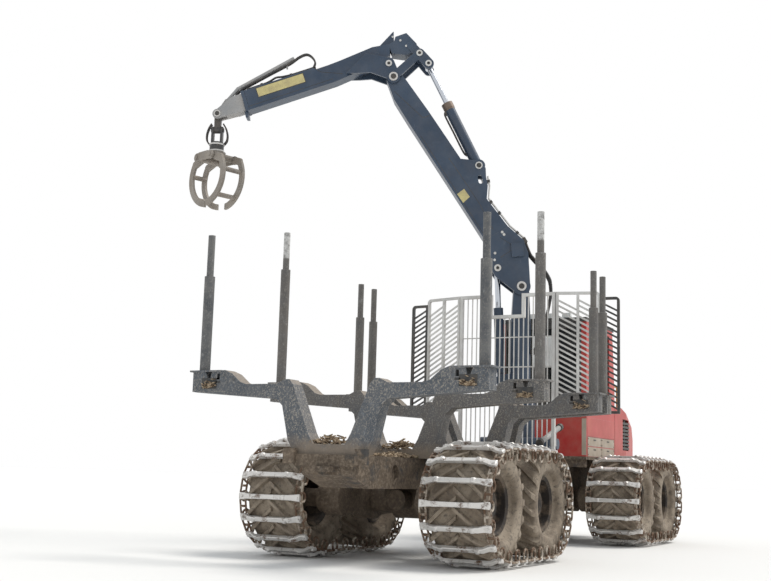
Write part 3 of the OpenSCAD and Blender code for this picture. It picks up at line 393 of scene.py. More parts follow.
def seat_cloth(name):
    """Dark woven cover with fine ribs."""
    s = Shader(name)
    wave = s.tree.nodes.new("ShaderNodeTexWave")
    s.link(s.place, wave.inputs["Vector"])
    wave.inputs["Scale"].default_value = 90
    s.bump(wave.outputs[1], 0.4, 0.002)
    return s.finish(s.mix(s.noise(12, 5, 0.6), (0.020, 0.021, 0.024), (0.060, 0.060, 0.062)), 0.95)


def bark_mix(name):
    """Bark, splinters and a little green, a shade for each place."""
    s = Shader(name)
    color = s.mix(s.step(s.noise(24, 3, 0.6), 0.35, 0.65), (0.135, 0.088, 0.056), (0.500, 0.390, 0.265))
    color = s.mix(s.step(s.noise(13, 3, 0.6, shift=4), 0.62, 0.70, 0, 0.6), color, (0.075, 0.095, 0.038))
    return s.finish(color, 0.95)


# The finish of each material slot
MATERIALS = {
    "frame_paint": muddy("frame_mud", (0.055, 0.052, 0.050), 0.8, 0.6),
    "axle_iron": muddy("axle_mud", (0.045, 0.040, 0.036), 0.95, 0.4),
    "bunk_paint": splashed_steel("bunk_paint", (0.062, 0.074, 0.090), (0.110, 0.118, 0.128),
                                 (0.400, 0.355, 0.300), 0.42),
    "stake_steel": splashed_steel("stake_paint", (0.070, 0.076, 0.084), (0.150, 0.148, 0.144),
                                  (0.300, 0.270, 0.235), 0.15),
    "gate_steel": worn_paint("gate_paint", (0.58, 0.57, 0.55), (0.78, 0.77, 0.74), 0.5,
                             dust=0.2, wear=0.6, mud_top=0.0, scratches=0.6),
    "crane_paint": worn_paint("crane_paint", (0.021, 0.043, 0.080), (0.040, 0.068, 0.112), 0.34,
                              dust=0.07, wear=0.25, mud_top=-0.3, scratches=0.2),
    "red_paint": worn_paint("red_paint", (0.44, 0.018, 0.016), (0.52, 0.060, 0.048), 0.38,
                            dust=0.22, wear=0.3, mud_top=0.30, scratches=0.3),
    "dark_paint": plain("dark_paint", (0.018, 0.020, 0.022), 0.5),
    "yellow_paint": plain("yellow_paint", (0.62, 0.30, 0.025), 0.42, dust=0.35),
    "extension_paint": worn_paint("extension_paint", (0.30, 0.31, 0.32), (0.42, 0.41, 0.40), 0.45,
                                  dust=0.2, wear=0.6, mud_top=-0.6, scratches=0.6),
    "rod_chrome": chrome_rod("rod_chrome"),
    "glass": dusty_glass("cab_glass"),
    "seat_cover": seat_cloth("seat_cloth"),
    "lamp_body": plain("lamp_lens", (0.62, 0.63, 0.61), 0.2, grain=25, dust=0.3),
    "engine_iron": plain("engine_iron", (0.10, 0.10, 0.095), 0.6, 0.3),
    "exhaust_steel": plain("exhaust_steel", (0.13, 0.10, 0.085), 0.45, 0.8),
    "link_steel": plain("link_steel", (0.035, 0.037, 0.040), 0.42, 0.2, dust=0.3),
    "grapple_steel": worn_paint("grapple_steel", (0.20, 0.175, 0.150), (0.33, 0.30, 0.265), 0.55,
                                dust=0.35, wear=0.8, mud_top=-0.6, scratches=0.8),
    "tyre": rubber_tyre("tyre_rubber"),
    "rim_paint": muddy("rim_mud", (0.026, 0.021, 0.018), 0.62, 0.22),
    "track_steel": track_steel("track_bare"),
}

# Nodes whose finish differs from that of their material slot
NODE_MATERIALS = {
    # Painted shade: near-black over the gate's outermost panels
    "gate_wings": worn_paint("gate_wing_paint", (0.56, 0.55, 0.53), (0.76, 0.75, 0.72), 0.5,
                             dust=0.2, wear=0.6, mud_top=0.0, scratches=0.5, shade_where=outer_panel_shade),
    # Painted shade: near-black inside the cab and on its rear wall
    "cab_frame": worn_paint("cab_paint", (0.46, 0.016, 0.014), (0.52, 0.045, 0.036), 0.38,
                            dust=0.15, wear=0.3, mud_top=0.30, scratches=0.3, shade_where=cab_inside_shade),
}

# Finishes of pieces that only this scene has
TRACK_LINKS = link_steel("track_links")
PIN_STEEL = plain("pin_steel", (0.56, 0.55, 0.53), 0.35, 0.3, dust=0.3)
PLATE = plain("blank_plate", (0.58, 0.50, 0.22), 0.5, dust=0.55)
HOSE = plain("hose_rubber", (0.022, 0.022, 0.024), 0.5, dust=0.25)
LOCKER = worn_paint("locker_paint", (0.40, 0.34, 0.27), (0.50, 0.43, 0.35), 0.6,
                    dust=0.5, wear=0.5, mud_top=0.2, scratches=0.5)
CANISTER = plain("canister_white", (0.72, 0.72, 0.70), 0.4, dust=0.3)
BARK = bark_mix("bark")


def dress_nodes():
    """Each CAD node takes the finish of its own material slot."""
    slots = {p["node"]: p["material_slot"] for p in frame["record"]["subparts"]}
    for node, thing in frame["nodes"].items():
        material = NODE_MATERIALS.get(node, MATERIALS[slots[node]])
        thing.data.materials.clear()
        thing.data.materials.append(material)


class Form:
    """A mesh that grows by simple shapes. Each shape may be set in place by a matrix."""

    def __init__(self):
        self.points = []
        self.faces = []

    def add(self, points, faces, at=None):
        """More points, with faces that count from the first of them."""
        start = len(self.points)
        for point in points:
            point = Vector(point)
            self.points.append(at @ point if at else point)
        self.faces.extend([start + i for i in face] for face in faces)

    def loft(self, rings, at=None, closed=False, caps=True):
        """Skin over rings of equally many points."""
        n = len(rings[0])
        points = [p for ring in rings for p in ring]
        faces = []
        spans = len(rings) if closed else len(rings) - 1
        for k in range(spans):
            a = k * n
            b = (k + 1) % len(rings) * n
            for i in range(n):
                j = (i + 1) % n
                faces.append((a + i, a + j, b + j, b + i))
        if caps and not closed:
            faces.append(tuple(reversed(range(n))))
            faces.append(tuple(range((len(rings) - 1) * n, len(rings) * n)))
        self.add(points, faces, at)

    def box(self, low, high, at=None):
        """A block between its two far corners."""
        (a, b, c), (d, e, f) = low, high
        bottom = [(a, b, c), (d, b, c), (d, e, c), (a, e, c)]
        self.loft([bottom, [(x, y, f) for x, y, z in bottom]], at)

    def disc(self, radius, low, high, sides=16, at=None, inner=0.0):
        """A cylinder along Z, or a ring where it has an inner radius."""
        def ring(r, z):
            return [(r * math.cos(2 * math.pi * i / sides), r * math.sin(2 * math.pi * i / sides), z)
                    for i in range(sides)]
        rings = [ring(radius, low), ring(radius, high)]
        if inner:
            rings = [ring(inner, low)] + rings + [ring(inner, high)]
            self.loft(rings, at, closed=True)
        else:
            self.loft(rings, at)

    def tube(self, path, radius, sides=8, at=None, closed=False):
        """A round bar along a path of points."""
        path = [Vector(p) for p in path]
        n = len(path)
        rings = []
        side = None
        for k, point in enumerate(path):
            before = path[k - 1] if k or closed else point
            after = path[(k + 1) % n] if k < n - 1 or closed else point
            ahead = (after - before).normalized()
            if side is None:
                side = ahead.orthogonal().normalized()
            side = (side - ahead * side.dot(ahead)).normalized()
            other = ahead.cross(side)
            turns = [2 * math.pi * i / sides for i in range(sides)]
            rings.append([point + (side * math.cos(a) + other * math.sin(a)) * radius for a in turns])
        self.loft(rings, at, closed=closed)

    def piece(self, name, slot, body, material=None, smooth=40, gone=()):
        """The finished piece on its body. Where body is a tuple (body, other body, start, end), its values are not
        used: the piece is only baked in place, on no body.

        It has its own material, or else its slot's.
        """
        mesh = bpy.data.meshes.new(name)
        mesh.from_pydata([tuple(p) for p in self.points], [], self.faces)
        mesh.validate()
        thing = bpy.data.objects.new(name, mesh)
        bpy.context.scene.collection.objects.link(thing)
        mesh.materials.append(material or MATERIALS[slot])
        if smooth:
            mesh.shade_smooth()
            mesh.set_sharp_from_angle(angle=math.radians(smooth))
        if gone:
            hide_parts(*gone)
        if isinstance(body, tuple):
            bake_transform(thing)
        else:
            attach(thing, body)

    def slab(self, outline, low, high, at=None):
        """A plate from an outline in X and Z, between two values of Y."""
        turn = sum(a[0] * b[1] - b[0] * a[1] for a, b in zip(outline, outline[1:] + outline[:1]))
        outline = outline if turn < 0 else outline[::-1]
        self.loft([[(x, low, z) for x, z in outline], [(x, high, z) for x, z in outline]], at)


# The bogies: short name and the body that each rides on
BOGIES = {
    "fl": "bogie_front_left",
    "fr": "bogie_front_right",
    "rl": "bogie_rear_left",
    "rr": "bogie_rear_right",
}

# Radius of the rim's edge, faces around a tyre, and lugs on each half of it
BEAD_R = 0.335
TYRE_FACES = 72
LUGS = 19

# Tyre carcass from bead to crown, as (radius, distance from the tyre's middle)
CARCASS = [(BEAD_R, 0.215), (0.344, 0.232), (0.362, 0.243), (0.384, 0.256), (0.396, 0.280), (0.402, 0.304),
           (0.414, 0.324), (0.440, 0.340), (0.480, 0.347), (0.520, 0.349), (0.560, 0.342), (0.588, 0.322),
           (0.601, 0.285), (0.606, 0.200), (0.608, 0.100), (0.609, 0.0)]

# A lug from the tyre's middle to its shoulder: (distance from the middle, top radius, foot radius,
# half thickness at the top, share of the sweep)
LUG_ROWS = [(-0.020, 0.652, 0.600, 0.021, -0.06), (0.100, 0.654, 0.600, 0.022, 0.28),
            (0.200, 0.654, 0.596, 0.024, 0.58), (0.280, 0.651, 0.590, 0.026, 0.83),
            (0.325, 0.640, 0.575, 0.028, 0.97), (0.3495, 0.606, 0.550, 0.028, 1.04),
            (0.3498, 0.560, 0.535, 0.024, 1.06)]
LUG_SWEEP = math.radians(25)
LUG_FLARE = 0.014


def wheel_frame(code):
    """Middle of a bogie's wheel line and its wheel spacing, from its rims."""
    low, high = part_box("rims_" + code)
    middle = Vector([(a + b) / 2 for a, b in zip(low, high)])
    return middle, high[0] - low[0] - 2 * BEAD_R


def make_tyres(code):
    """The two tyres of one bogie: lathed carcass and chevron lugs."""
    middle, pitch = wheel_frame(code)
    form = Form()
    profile = CARCASS + [(r, -y) for r, y in reversed(CARCASS[:-1])]
    for e in (-1, 1):
        at = Matrix.Translation(middle + Vector((e * pitch / 2, 0, 0)))
        rings = []
        for k in range(TYRE_FACES):
            a = 2 * math.pi * k / TYRE_FACES
            rings.append([(r * math.sin(a), y, r * math.cos(a)) for r, y in profile])
        form.loft(rings, at, closed=True)
        for side in (-1, 1):
            for k in range(LUGS):
                turn = 2 * math.pi * (k + (0.5 if side > 0 else 0)) / LUGS
                rings = []
                for y, top, foot, half, share in LUG_ROWS:
                    a = turn - share * LUG_SWEEP
                    ring = []
                    for r, d in ((foot, -half - LUG_FLARE), (top, -half), (top, half),
                                 (foot, half + LUG_FLARE)):
                        b = a + d / r
                        ring.append((r * math.sin(b), side * y, r * math.cos(b)))
                    rings.append(ring if side > 0 else ring[::-1])
                form.loft(rings, at)
    form.piece("tyre_pair_" + code, "tyre", BOGIES[code], gone=["tyres_" + code])


# Track bars on each straight run, and steps of the loop around each wheel
RUN_BARS = 7
TURN_STEPS = 8


def loop_places(pitch, radius):
    """Places of the bars around both wheels: (x, z, turn of the outward direction from up)."""
    run = pitch + 2 * radius * math.tan(math.pi / 2 / TURN_STEPS)
    places = []
    for half in (0, 1):
        e = 1 - 2 * half
        for i in range(RUN_BARS):
            places.append((e * ((i + 0.5) / RUN_BARS - 0.5) * run, e * radius, half * math.pi))
        for i in range(1, TURN_STEPS):
            a = i * math.pi / TURN_STEPS + half * math.pi
            places.append((e * pitch / 2 + radius * math.sin(a), radius * math.cos(a), a))
    return places


# Half of a track bar, as rows of (distance from its middle, low, high, half width)
BAR_ROWS = [(0.000, 0.006, 0.046, 0.027), (0.190, 0.006, 0.047, 0.029), (0.205, 0.006, 0.062, 0.030),
            (0.235, 0.006, 0.062, 0.030), (0.250, 0.006, 0.047, 0.030), (0.285, 0.004, 0.045, 0.031),
            (0.345, -0.030, 0.010, 0.036), (0.400, -0.034, 0.006, 0.042), (0.418, -0.034, 0.004, 0.042),
            (0.424, -0.030, -0.002, 0.034)]
BAR_CHAMFER = 0.006

# Radius of the loop, and how the links between the bars and the rings at their ends lie and measure
TYRE_R = 0.655
LINK_Y = 0.388
LINK_WIDTH = 0.076
LINK_BAR_R = 0.0125
LINK_SHORTER = 0.052
SHORT_GAP = 0.26
RING_Y = 0.404
RING_SIZE = (0.112, 0.132)
RING_DROP = 0.088
RING_BAR_R = 0.0135


def turned(x, z, turn, middle):
    """Matrix from (along the track, across, outward) at one place of the loop to the frame."""
    along = Vector((math.cos(turn), 0, -math.sin(turn)))
    out = Vector((math.sin(turn), 0, math.cos(turn)))
    spin = Matrix((along, Vector((0, 1, 0)), out)).transposed().to_4x4()
    return Matrix.Translation(middle + Vector((x, 0, z))) @ spin


def oval(length, width, corner, steps=4):
    """Points of a rectangle with round corners, around the origin in a plane."""
    points = []
    for k in range(4):
        cx = (length / 2 - corner) * (1 if k in (0, 3) else -1)
        cy = (width / 2 - corner) * (1 if k < 2 else -1)
        for i in range(steps):
            a = (k + i / (steps - 1)) * math.pi / 2
            points.append((cx + corner * math.cos(a), cy + corner * math.sin(a)))
    return points


def make_track(code, rng):
    """One bogie track: bars over the tyres, with links and rings along both edges."""
    middle, pitch = wheel_frame(code)
    bars = Form()
    links = Form()
    places = loop_places(pitch, TYRE_R)
    for k, (x, z, turn) in enumerate(places):
        at = turned(x, z, turn + rng.uniform(-0.012, 0.012), middle)
        rows = [(-y, low, high, half) for y, low, high, half in reversed(BAR_ROWS[1:])] + BAR_ROWS
        rings = []
        for y, low, high, half in rows:
            edge, flat = high - BAR_CHAMFER, half - BAR_CHAMFER
            rings.append([(-half, y, low), (half, y, low), (half, y, edge), (flat, y, high), (-flat, y, high),
                          (-half, y, edge)])
        bars.loft(rings, at)
        for side in (-1, 1):
            spot = at @ Matrix.Translation((0, side * LINK_Y, -0.002))
            bars.disc(0.019, 0, 0.020, 8, spot)
            sway = rng.uniform(-0.006, 0.006)
            ring = [(u + sway, side * RING_Y, v - RING_DROP) for u, v in oval(*RING_SIZE, 0.052)]
            links.tube(ring, RING_BAR_R, 6, at, closed=True)
        nx, nz = places[(k + 1) % len(places)][:2]
        gap = Vector((nx - x, 0, nz - z))
        spot = turned((x + nx) / 2, (z + nz) / 2, math.atan2(-gap.z, gap.x), middle)
        drop = -0.016 - 0.008 * (gap.length < SHORT_GAP)
        for side in (-1, 1):
            y = side * LINK_Y
            ring = [(u, y + v, drop) for u, v in oval(gap.length - LINK_SHORTER, LINK_WIDTH, 0.030)]
            links.tube(ring, LINK_BAR_R, 6, spot, closed=True)
            links.box((-0.012, y - 0.030, drop - 0.011), (0.012, y + 0.030, drop + 0.011), spot)
    gone = ["track_" + code]
    bars.piece("track_bars_" + code, "track_steel", BOGIES[code], gone=gone)
    links.piece("track_links_" + code, "track_steel", BOGIES[code], TRACK_LINKS, gone=gone)


# The crane's turn from +X, the main boom's rise and the outer boom's fall, in degrees
CRANE_TURN = 115.0
BOOM_RISE = 58.2
STICK_FALL = 19.8
JOINTS = {j["name"]: Vector(j["pos_m"]) for j in frame["joints"] if j.get("pos_m")}


def crane_place(at, rise):
    """Matrix from (along, left, up) in the side view of a crane part to the frame."""
    turn, tilt = math.radians(CRANE_TURN), math.radians(rise)
    along = Vector((math.cos(turn) * math.cos(tilt), math.sin(turn) * math.cos(tilt), math.sin(tilt)))
    left = Vector((-math.sin(turn), math.cos(turn), 0))
    spin = Matrix((along, left, along.cross(left))).transposed().to_4x4()
    return Matrix.Translation(at) @ spin


BOOM = crane_place(JOINTS["boom_lift"], BOOM_RISE)
COLUMN = crane_place(JOINTS["boom_lift"], 0)
STICK = crane_place(JOINTS["stick_fold"], -STICK_FALL)
TIP = crane_place(JOINTS["link_swing"], 0)

# Outer faces of the crane's parts, as distances from its middle plane
BOOM_CHEEK = 0.150
BOOM_FACE = 0.140
STICK_FACE = 0.130
ROCKER_FACE = 0.180
TIP_FACE = 0.105

# Ends of the stick cylinder: its foot on the main boom, and its eye on the rocker
STICK_FOOT = (2.006, 0.427)
STICK_EYE = (-0.604, 0.026)

# Pins with a light collar: (body, place, along, up, face, end of the pin, outer and inner radius)
PINS = [("main_boom", BOOM, 0, 0, BOOM_CHEEK, 0.150, 0.075, 0.045),
        ("main_boom", BOOM, 0.437, -0.172, BOOM_CHEEK, 0.150, 0.055, 0.026),
        ("main_boom", BOOM, *STICK_FOOT, BOOM_FACE, 0.150, 0.058, 0.040),
        ("outer_boom", STICK, 0, 0, ROCKER_FACE, 0.195, 0.072, 0.046),
        ("outer_boom", STICK, 0.002, 0.234, ROCKER_FACE, 0.180, 0.052, 0.026),
        ("outer_boom", STICK, *STICK_EYE, ROCKER_FACE, 0.180, 0.052, 0.026),
        ("outer_boom", STICK, -0.521, 0.237, ROCKER_FACE, 0.180, 0.052, 0.026),
        ("extension", STICK, 2.890, 0.361, TIP_FACE, 0.125, 0.056, 0.037)]
COLLAR_HEIGHT = 0.018

# Seams of the welded plates in the side view, drawn dark as painted shade of the plate edges: (body, place, face,
# path)
SEAMS = [("main_boom", BOOM, BOOM_CHEEK, [(0.842, 0.111), (0.572, 0.238), (0.558, -0.049)]),
         ("main_boom", BOOM, BOOM_FACE, [(1.000, 0.085), (1.459, 0.115), (1.981, 0.096), (2.360, 0.078)]),
         ("main_boom", BOOM, BOOM_FACE, [(0.930, -0.080), (1.500, -0.090), (2.900, -0.120)]),
         ("main_boom", BOOM, BOOM_FACE, [(3.760, -0.110), (3.136, 0.062), (3.122, 0.175)]),
         ("outer_boom", STICK, STICK_FACE, [(0.930, 0.300), (2.400, 0.300)]),
         ("outer_boom", STICK, STICK_FACE, [(0.760, 0.330), (1.080, 0.470), (1.160, 0.560)])]
SEAM_HALF = 0.004


def on_side(side, inner, outer):
    """Low and high Y of what lies between two distances from the middle, on the side -1 or 1."""
    return tuple(sorted((side * inner, side * outer)))


def both(face, height):
    """Low and high Y of what stands on both faces of a part."""
    return [on_side(s, face, face + height) for s in (-1, 1)]


def sideways(place, x, z):
    """Matrix whose Z runs across the crane at one point of a part's side view."""
    return place @ Matrix.Translation((x, 0, z)) @ Matrix.Rotation(-math.pi / 2, 4, "X")


def make_pins():
    """Light collars around the crane's pins, with a near-black disc in the middle as painted shade at the pin's
    end.
    """
    for body in ("main_boom", "outer_boom", "extension"):
        collars = Form()
        end_shade = Form()
        for owner, place, x, z, face, end, outer, inner in PINS:
            if owner != body:
                continue
            at = sideways(place, x, z)
            for low, high in both(face, COLLAR_HEIGHT):
                collars.disc(outer, low, high, 28, at, inner=inner)
            # Painted shade: a near-black disc at each pin's end, inside its collar
            for low, high in both(end, 0.002):
                end_shade.disc(inner * 0.96, low, high, 20, at)
        collars.piece("pin_collars_" + body, "rod_chrome", body, PIN_STEEL)
        end_shade.piece("pin_end_shade_" + body, "dark_paint", body)


def make_seam_shade():
    """Dark lines where the crane's plates meet: real seams, drawn dark as painted shade of the plate edges."""
    for body in ("main_boom", "outer_boom"):
        lines = Form()
        for owner, place, face, path in SEAMS:
            if owner != body:
                continue
            for (x0, z0), (x1, z1) in zip(path, path[1:]):
                turn = Matrix.Rotation(-math.atan2(z1 - z0, x1 - x0), 4, "Y")
                at = place @ Matrix.Translation((x0, 0, z0)) @ turn
                length = math.hypot(x1 - x0, z1 - z0)
                for low, high in both(face - 0.001, 0.0022):
                    lines.box((0, low, -SEAM_HALF), (length, high, SEAM_HALF), at)
        lines.piece("plate_seam_shade_" + body, "dark_paint", body, smooth=0)


# Box and blank plates on both faces of the booms, as outlines in the side view:
# (name, slot, own material, body, place, face, height, outline)
SLABS = [("boom_step_box", "crane_paint", None, "main_boom", BOOM, BOOM_CHEEK, 0.045,
          [(0.665, 0.206), (0.570, 0.367), (0.385, 0.273), (0.467, 0.104)]),
         ("boom_plate", "yellow_paint", PLATE, "main_boom", BOOM, BOOM_FACE, 0.003,
          [(1.610, -0.100), (1.640, 0.040), (1.800, 0.030), (1.780, -0.110)]),
         ("stick_plate", "yellow_paint", PLATE, "outer_boom", STICK, STICK_FACE, 0.003,
          [(2.165, 0.402), (1.375, 0.398), (1.375, 0.545), (2.165, 0.549)]),
         ("stick_plate_rim", "dark_paint", None, "outer_boom", STICK, STICK_FACE, 0.0015,
          [(2.177, 0.390), (1.363, 0.386), (1.363, 0.557), (2.177, 0.561)])]

# Bolts on both faces of the booms: (along, up, face)
BOOM_BOLTS = [(0.889, 0.183, BOOM_CHEEK), (0.842, 0.188, BOOM_CHEEK), (0.659, -0.087, BOOM_CHEEK),
              (0.569, -0.148, BOOM_CHEEK)]
HEAD_BOLTS = [(-0.300, 0.560, STICK_FACE), (-0.360, 0.440, STICK_FACE), (-0.210, 0.700, 0.020)]


def make_bolts(name, body, place, spots, radius):
    """Bolt heads on both faces of one boom."""
    bolts = Form()
    for x, z, face in spots:
        for low, high in both(face, 0.012):
            bolts.disc(radius, low, high, 12, sideways(place, x, z))
    bolts.piece(name, "rod_chrome", body, PIN_STEEL)


def make_boom_fittings():
    """Bolts, step box, blank plates and the end collar on the booms."""
    make_bolts("boom_bolts", "main_boom", BOOM, BOOM_BOLTS, 0.021)
    for name, slot, material, body, place, face, height, outline in SLABS:
        form = Form()
        for low, high in both(face, height):
            form.slab(outline, low, high, place)
        form.piece(name, slot, body, material, smooth=0)
    tab = Form()
    tab.slab([(2.400, 0.250), (2.462, 0.250), (2.470, 0.150), (2.425, 0.135)], -0.090, 0.090, STICK)
    for low, high in both(STICK_FACE, 0.012):
        tab.slab([(2.375, 0.236), (2.425, 0.236), (2.425, 0.584), (2.375, 0.584)], low, high, STICK)
    tab.piece("stick_end_collar", "crane_paint", "outer_boom", smooth=0)
    make_bolts("head_bolts", "outer_boom", STICK, HEAD_BOLTS, 0.018)


def smooth(path, steps=5):
    """More points along a soft curve through the given ones."""
    path = [Vector(p) for p in path]
    ends = [2 * path[0] - path[1]] + path + [2 * path[-1] - path[-2]]
    points = []
    for a, b, c, d in zip(ends, ends[1:], ends[2:], ends[3:]):
        for i in range(steps):
            t = i / steps
            points.append(0.5 * (2 * b + (c - a) * t + (2 * a - 5 * b + 4 * c - d) * t * t
                                 + (3 * b - a - 3 * c + d) * t ** 3))
    return points + [path[-1]]


def lane(path, y):
    """A path of the side view, set off across the crane."""
    return smooth([(x, y, z) for x, z in path])


# Lanes across the crane of the six hoses over the boom's foot, and the radius of each kind of line
HOSE_LANES = [-0.070 + 0.034 * k for k in range(6)]
HOSE_R = 0.0155
PIPE_R = 0.013
LOOP_R = 0.0145
RUN_R = 0.0125
PORT_R = 0.011


def make_boom_hoses():
    """Pipes and hoses along the main boom, and their bend down to the column."""
    pipes = Form()
    path = ((0.640, 0.436), (0.926, 0.346), (1.474, 0.288), (1.640, 0.405), (1.790, 0.462))
    for y in (0.088, 0.122):
        pipes.tube([(x, y, z) for x, z in path], PIPE_R, 8, BOOM)
    pipes.piece("boom_pipes", "rod_chrome", "main_boom", PIN_STEEL)
    clips = Form()
    for x, z, turn in ((0.760, 0.362, 17.2), (1.180, 0.285, 6.0), (1.400, 0.262, 6.0), (1.720, 0.405, -22)):
        at = BOOM @ Matrix.Translation((x, 0, z)) @ Matrix.Rotation(math.radians(turn), 4, "Y")
        clips.box((-0.022, 0.066, -0.004), (0.022, 0.139, 0.048), at)
    clips.box((0.560, -0.090, 0.400), (0.650, 0.139, 0.452), BOOM)
    clips.piece("boom_clips", "dark_paint", "main_boom", smooth=0)
    hoses = Form()
    back = [(0.640, 0.430), (0.397, 0.386), (0.290, 0.394), (0.057, 0.440), (-0.110, 0.440), (-0.190, 0.416)]
    for k, y in enumerate(HOSE_LANES):
        lift = 0.010 * (k % 2)
        hoses.tube(lane([(x, z + lift) for x, z in back], y), HOSE_R, 7, BOOM)
    hoses.piece("boom_hoses", None, "main_boom", HOSE)
    bends = Form()
    down = [(-0.454, 0.058), (-0.461, -0.090), (-0.430, -0.300), (-0.370, -0.560), (-0.290, -0.800),
            (-0.200, -1.020)]
    for k, y in enumerate(HOSE_LANES):
        off = -0.0085 * (k % 2)
        path = [(u + off, y * (1 - 0.35 * i / 5), w) for i, (u, w) in enumerate(down)]
        bends.tube(smooth(path), HOSE_R, 7, COLUMN)
    bends.box((-0.235, -0.085, -1.045), (-0.150, 0.085, -0.985), COLUMN)
    start, end = COLUMN @ Vector((-0.290, 0, -0.800)), COLUMN @ Vector((-0.454, 0, 0.020))
    bends.piece("column_hoses", None, ("slew_column", "main_boom", start, end), HOSE)


def make_tip_hoses():
    """Hoses under the bar at the boom's end, their loop, and the run on the outer boom."""
    loop = Form()
    path = [(2.660, 0.505), (2.554, 0.535), (2.445, 0.632), (1.994, 0.728), (1.594, 0.800), (1.480, 0.826),
            (1.341, 0.873), (1.215, 0.878), (1.143, 0.804), (1.124, 0.700), (1.185, 0.614)]
    for y in (-0.028, 0.028):
        loop.tube(lane(path, y), LOOP_R, 8, STICK)
    loop.piece("tip_hose_loop", None, "extension", HOSE)
    run = Form()
    path = [(1.190, 0.594), (1.300, 0.594), (1.544, 0.597), (1.700, 0.612), (1.806, 0.632), (1.915, 0.606),
            (2.022, 0.594), (2.300, 0.594)]
    for y in (0.078, 0.106):
        run.tube(lane(path, y), RUN_R, 8, STICK)
    run.piece("stick_hose_run", None, "outer_boom", HOSE)
    clips = Form()
    for x in (1.160, 1.560, 2.060, 2.300):
        clips.box((x - 0.020, 0.058, 0.578), (x + 0.020, 0.124, 0.611), STICK)
    clips.box((1.140, -0.045, 0.578), (1.200, 0.124, 0.5955), STICK)
    clips.piece("stick_hose_clips", "dark_paint", "outer_boom", smooth=0)
    cage = Form()
    for s in (-1, 1):
        for y in (-0.034, 0.034):
            path = [(s * 0.100, y, -0.510), (s * 0.158, y, -0.440), (s * 0.168, y, -0.340),
                    (s * 0.140, y, -0.230), (s * 0.095, y, -0.150)]
            cage.tube(smooth(path), RUN_R, 8, TIP)
    cage.piece("rotator_hoses", None, "rotator", HOSE)
    flanges = Form()
    for low, high, radius in ((-0.512, -0.487, 0.124), (-0.618, -0.596, 0.126)):
        flanges.disc(radius, low, high, 32, TIP)
    for k in range(10):
        turn = Matrix.Rotation(math.radians(36 * k), 4, "Z")
        flanges.disc(0.009, -0.487, -0.478, 6, TIP @ turn @ Matrix.Translation((0.104, 0, 0)))
    flanges.piece("rotator_flanges", "rod_chrome", "rotator", PIN_STEEL)


def make_cylinder_fittings():
    """Gland collar, port and hose of the stick cylinder."""
    foot = BOOM @ Vector((STICK_FOOT[0], 0, STICK_FOOT[1]))
    along = (STICK @ Vector((STICK_EYE[0], 0, STICK_EYE[1])) - foot).normalized()
    left = (BOOM @ Vector((0, 1, 0)) - BOOM @ Vector((0, 0, 0))).normalized()
    spin = Matrix((left.cross(along), left, along)).transposed().to_4x4()
    at = Matrix.Translation(foot) @ spin
    collar = Form()
    collar.disc(0.093, 1.085, 1.183, 28, at, inner=0.046)
    collar.disc(0.089, 1.060, 1.086, 28, at, inner=0.080)
    collar.piece("stick_gland", "exhaust_steel", "stick_barrel")
    lines = Form()
    for y in (-0.030, 0.030):
        path = [(0.082, y, 1.040), (0.112, y, 1.020), (0.110, y, 0.700), (0.108, y, 0.350), (0.080, y, 0.260)]
        lines.tube(smooth(path), PORT_R, 7, at)
    lines.box((0.070, -0.045, 1.010), (0.105, 0.045, 1.060), at)
    lines.piece("stick_cylinder_lines", None, "stick_barrel", HOSE)


# Locker fronts: their rows in height, their ends along X, and the distance of their face from the middle
LOCKER_ROWS = ((0.787, 0.935), (0.950, 1.090))
LOCKER_ENDS = ((0.496, 1.224), (1.234, 1.964))
LOCKER_FACE = 0.744


def make_carrier_trim():
    """Locker fronts under the cab, its rear cover strips and a canister on its rear wall."""
    doors = Form()
    handles = Form()
    for s in (-1, 1):
        for z0, z1 in LOCKER_ROWS:
            low, high = on_side(s, 0.722, LOCKER_FACE)
            for x0, x1 in LOCKER_ENDS:
                doors.box((x0, low, z0), (x1, high, z1))
            low, high = on_side(s, LOCKER_FACE - 0.001, LOCKER_FACE + 0.0035)
            for x in (0.860, 1.600):
                handles.box((x - 0.060, low, z1 - 0.050), (x + 0.060, high, z1 - 0.030))
            low, high = on_side(s, LOCKER_FACE - 0.001, LOCKER_FACE + 0.003)
            for x in (0.520, 1.200, 1.260, 1.940):
                for z in (z0 + 0.025, z1 - 0.025):
                    handles.disc(0.011, low, high, 8, sideways(Matrix.Identity(4), x, z))
    doors.piece("locker_doors", None, "front_frame", LOCKER, smooth=0)
    handles.piece("locker_handles", "dark_paint", "front_frame", smooth=0)
    strip = Form()
    for s in (-1, 1):
        low, high = on_side(s, 0.665, 0.738)
        strip.box((0.424, low, 0.800), (0.434, high, 1.380))
    strip.piece("rear_cover_strips", None, "front_frame", LOCKER, smooth=0)
    can = Form()
    shape = [(0.300, 2.200), (0.300, 2.670), (0.322, 2.700), (0.408, 2.700), (0.430, 2.670), (0.430, 2.200)]
    can.slab(shape, -0.230, 0.125)
    can.piece("canister", "lamp_body", "front_frame", CANISTER, smooth=0)


def make_side_cylinder():
    """A grey cylinder beside the crane's foot, on a bracket at the end of the outrigger bars."""
    form = Form()
    start, end = Vector((-1.420, -0.620, 0.920)), Vector((-0.510, -0.620, 1.197))
    form.tube([start, end], 0.040, 16)
    form.box((-0.800, -0.640, 0.900), (-0.730, -0.555, 1.115))
    form.piece("side_cylinder", "extension_paint", "rear_frame")
    ends = Form()
    along = (end - start).normalized()
    inward, outward = along * 0.060, along * 0.010
    ends.tube([end - inward, end + outward], 0.056, 16)
    ends.tube([start - outward, start + inward], 0.056, 16)
    ends.piece("side_cylinder_ends", "dark_paint", "rear_frame")


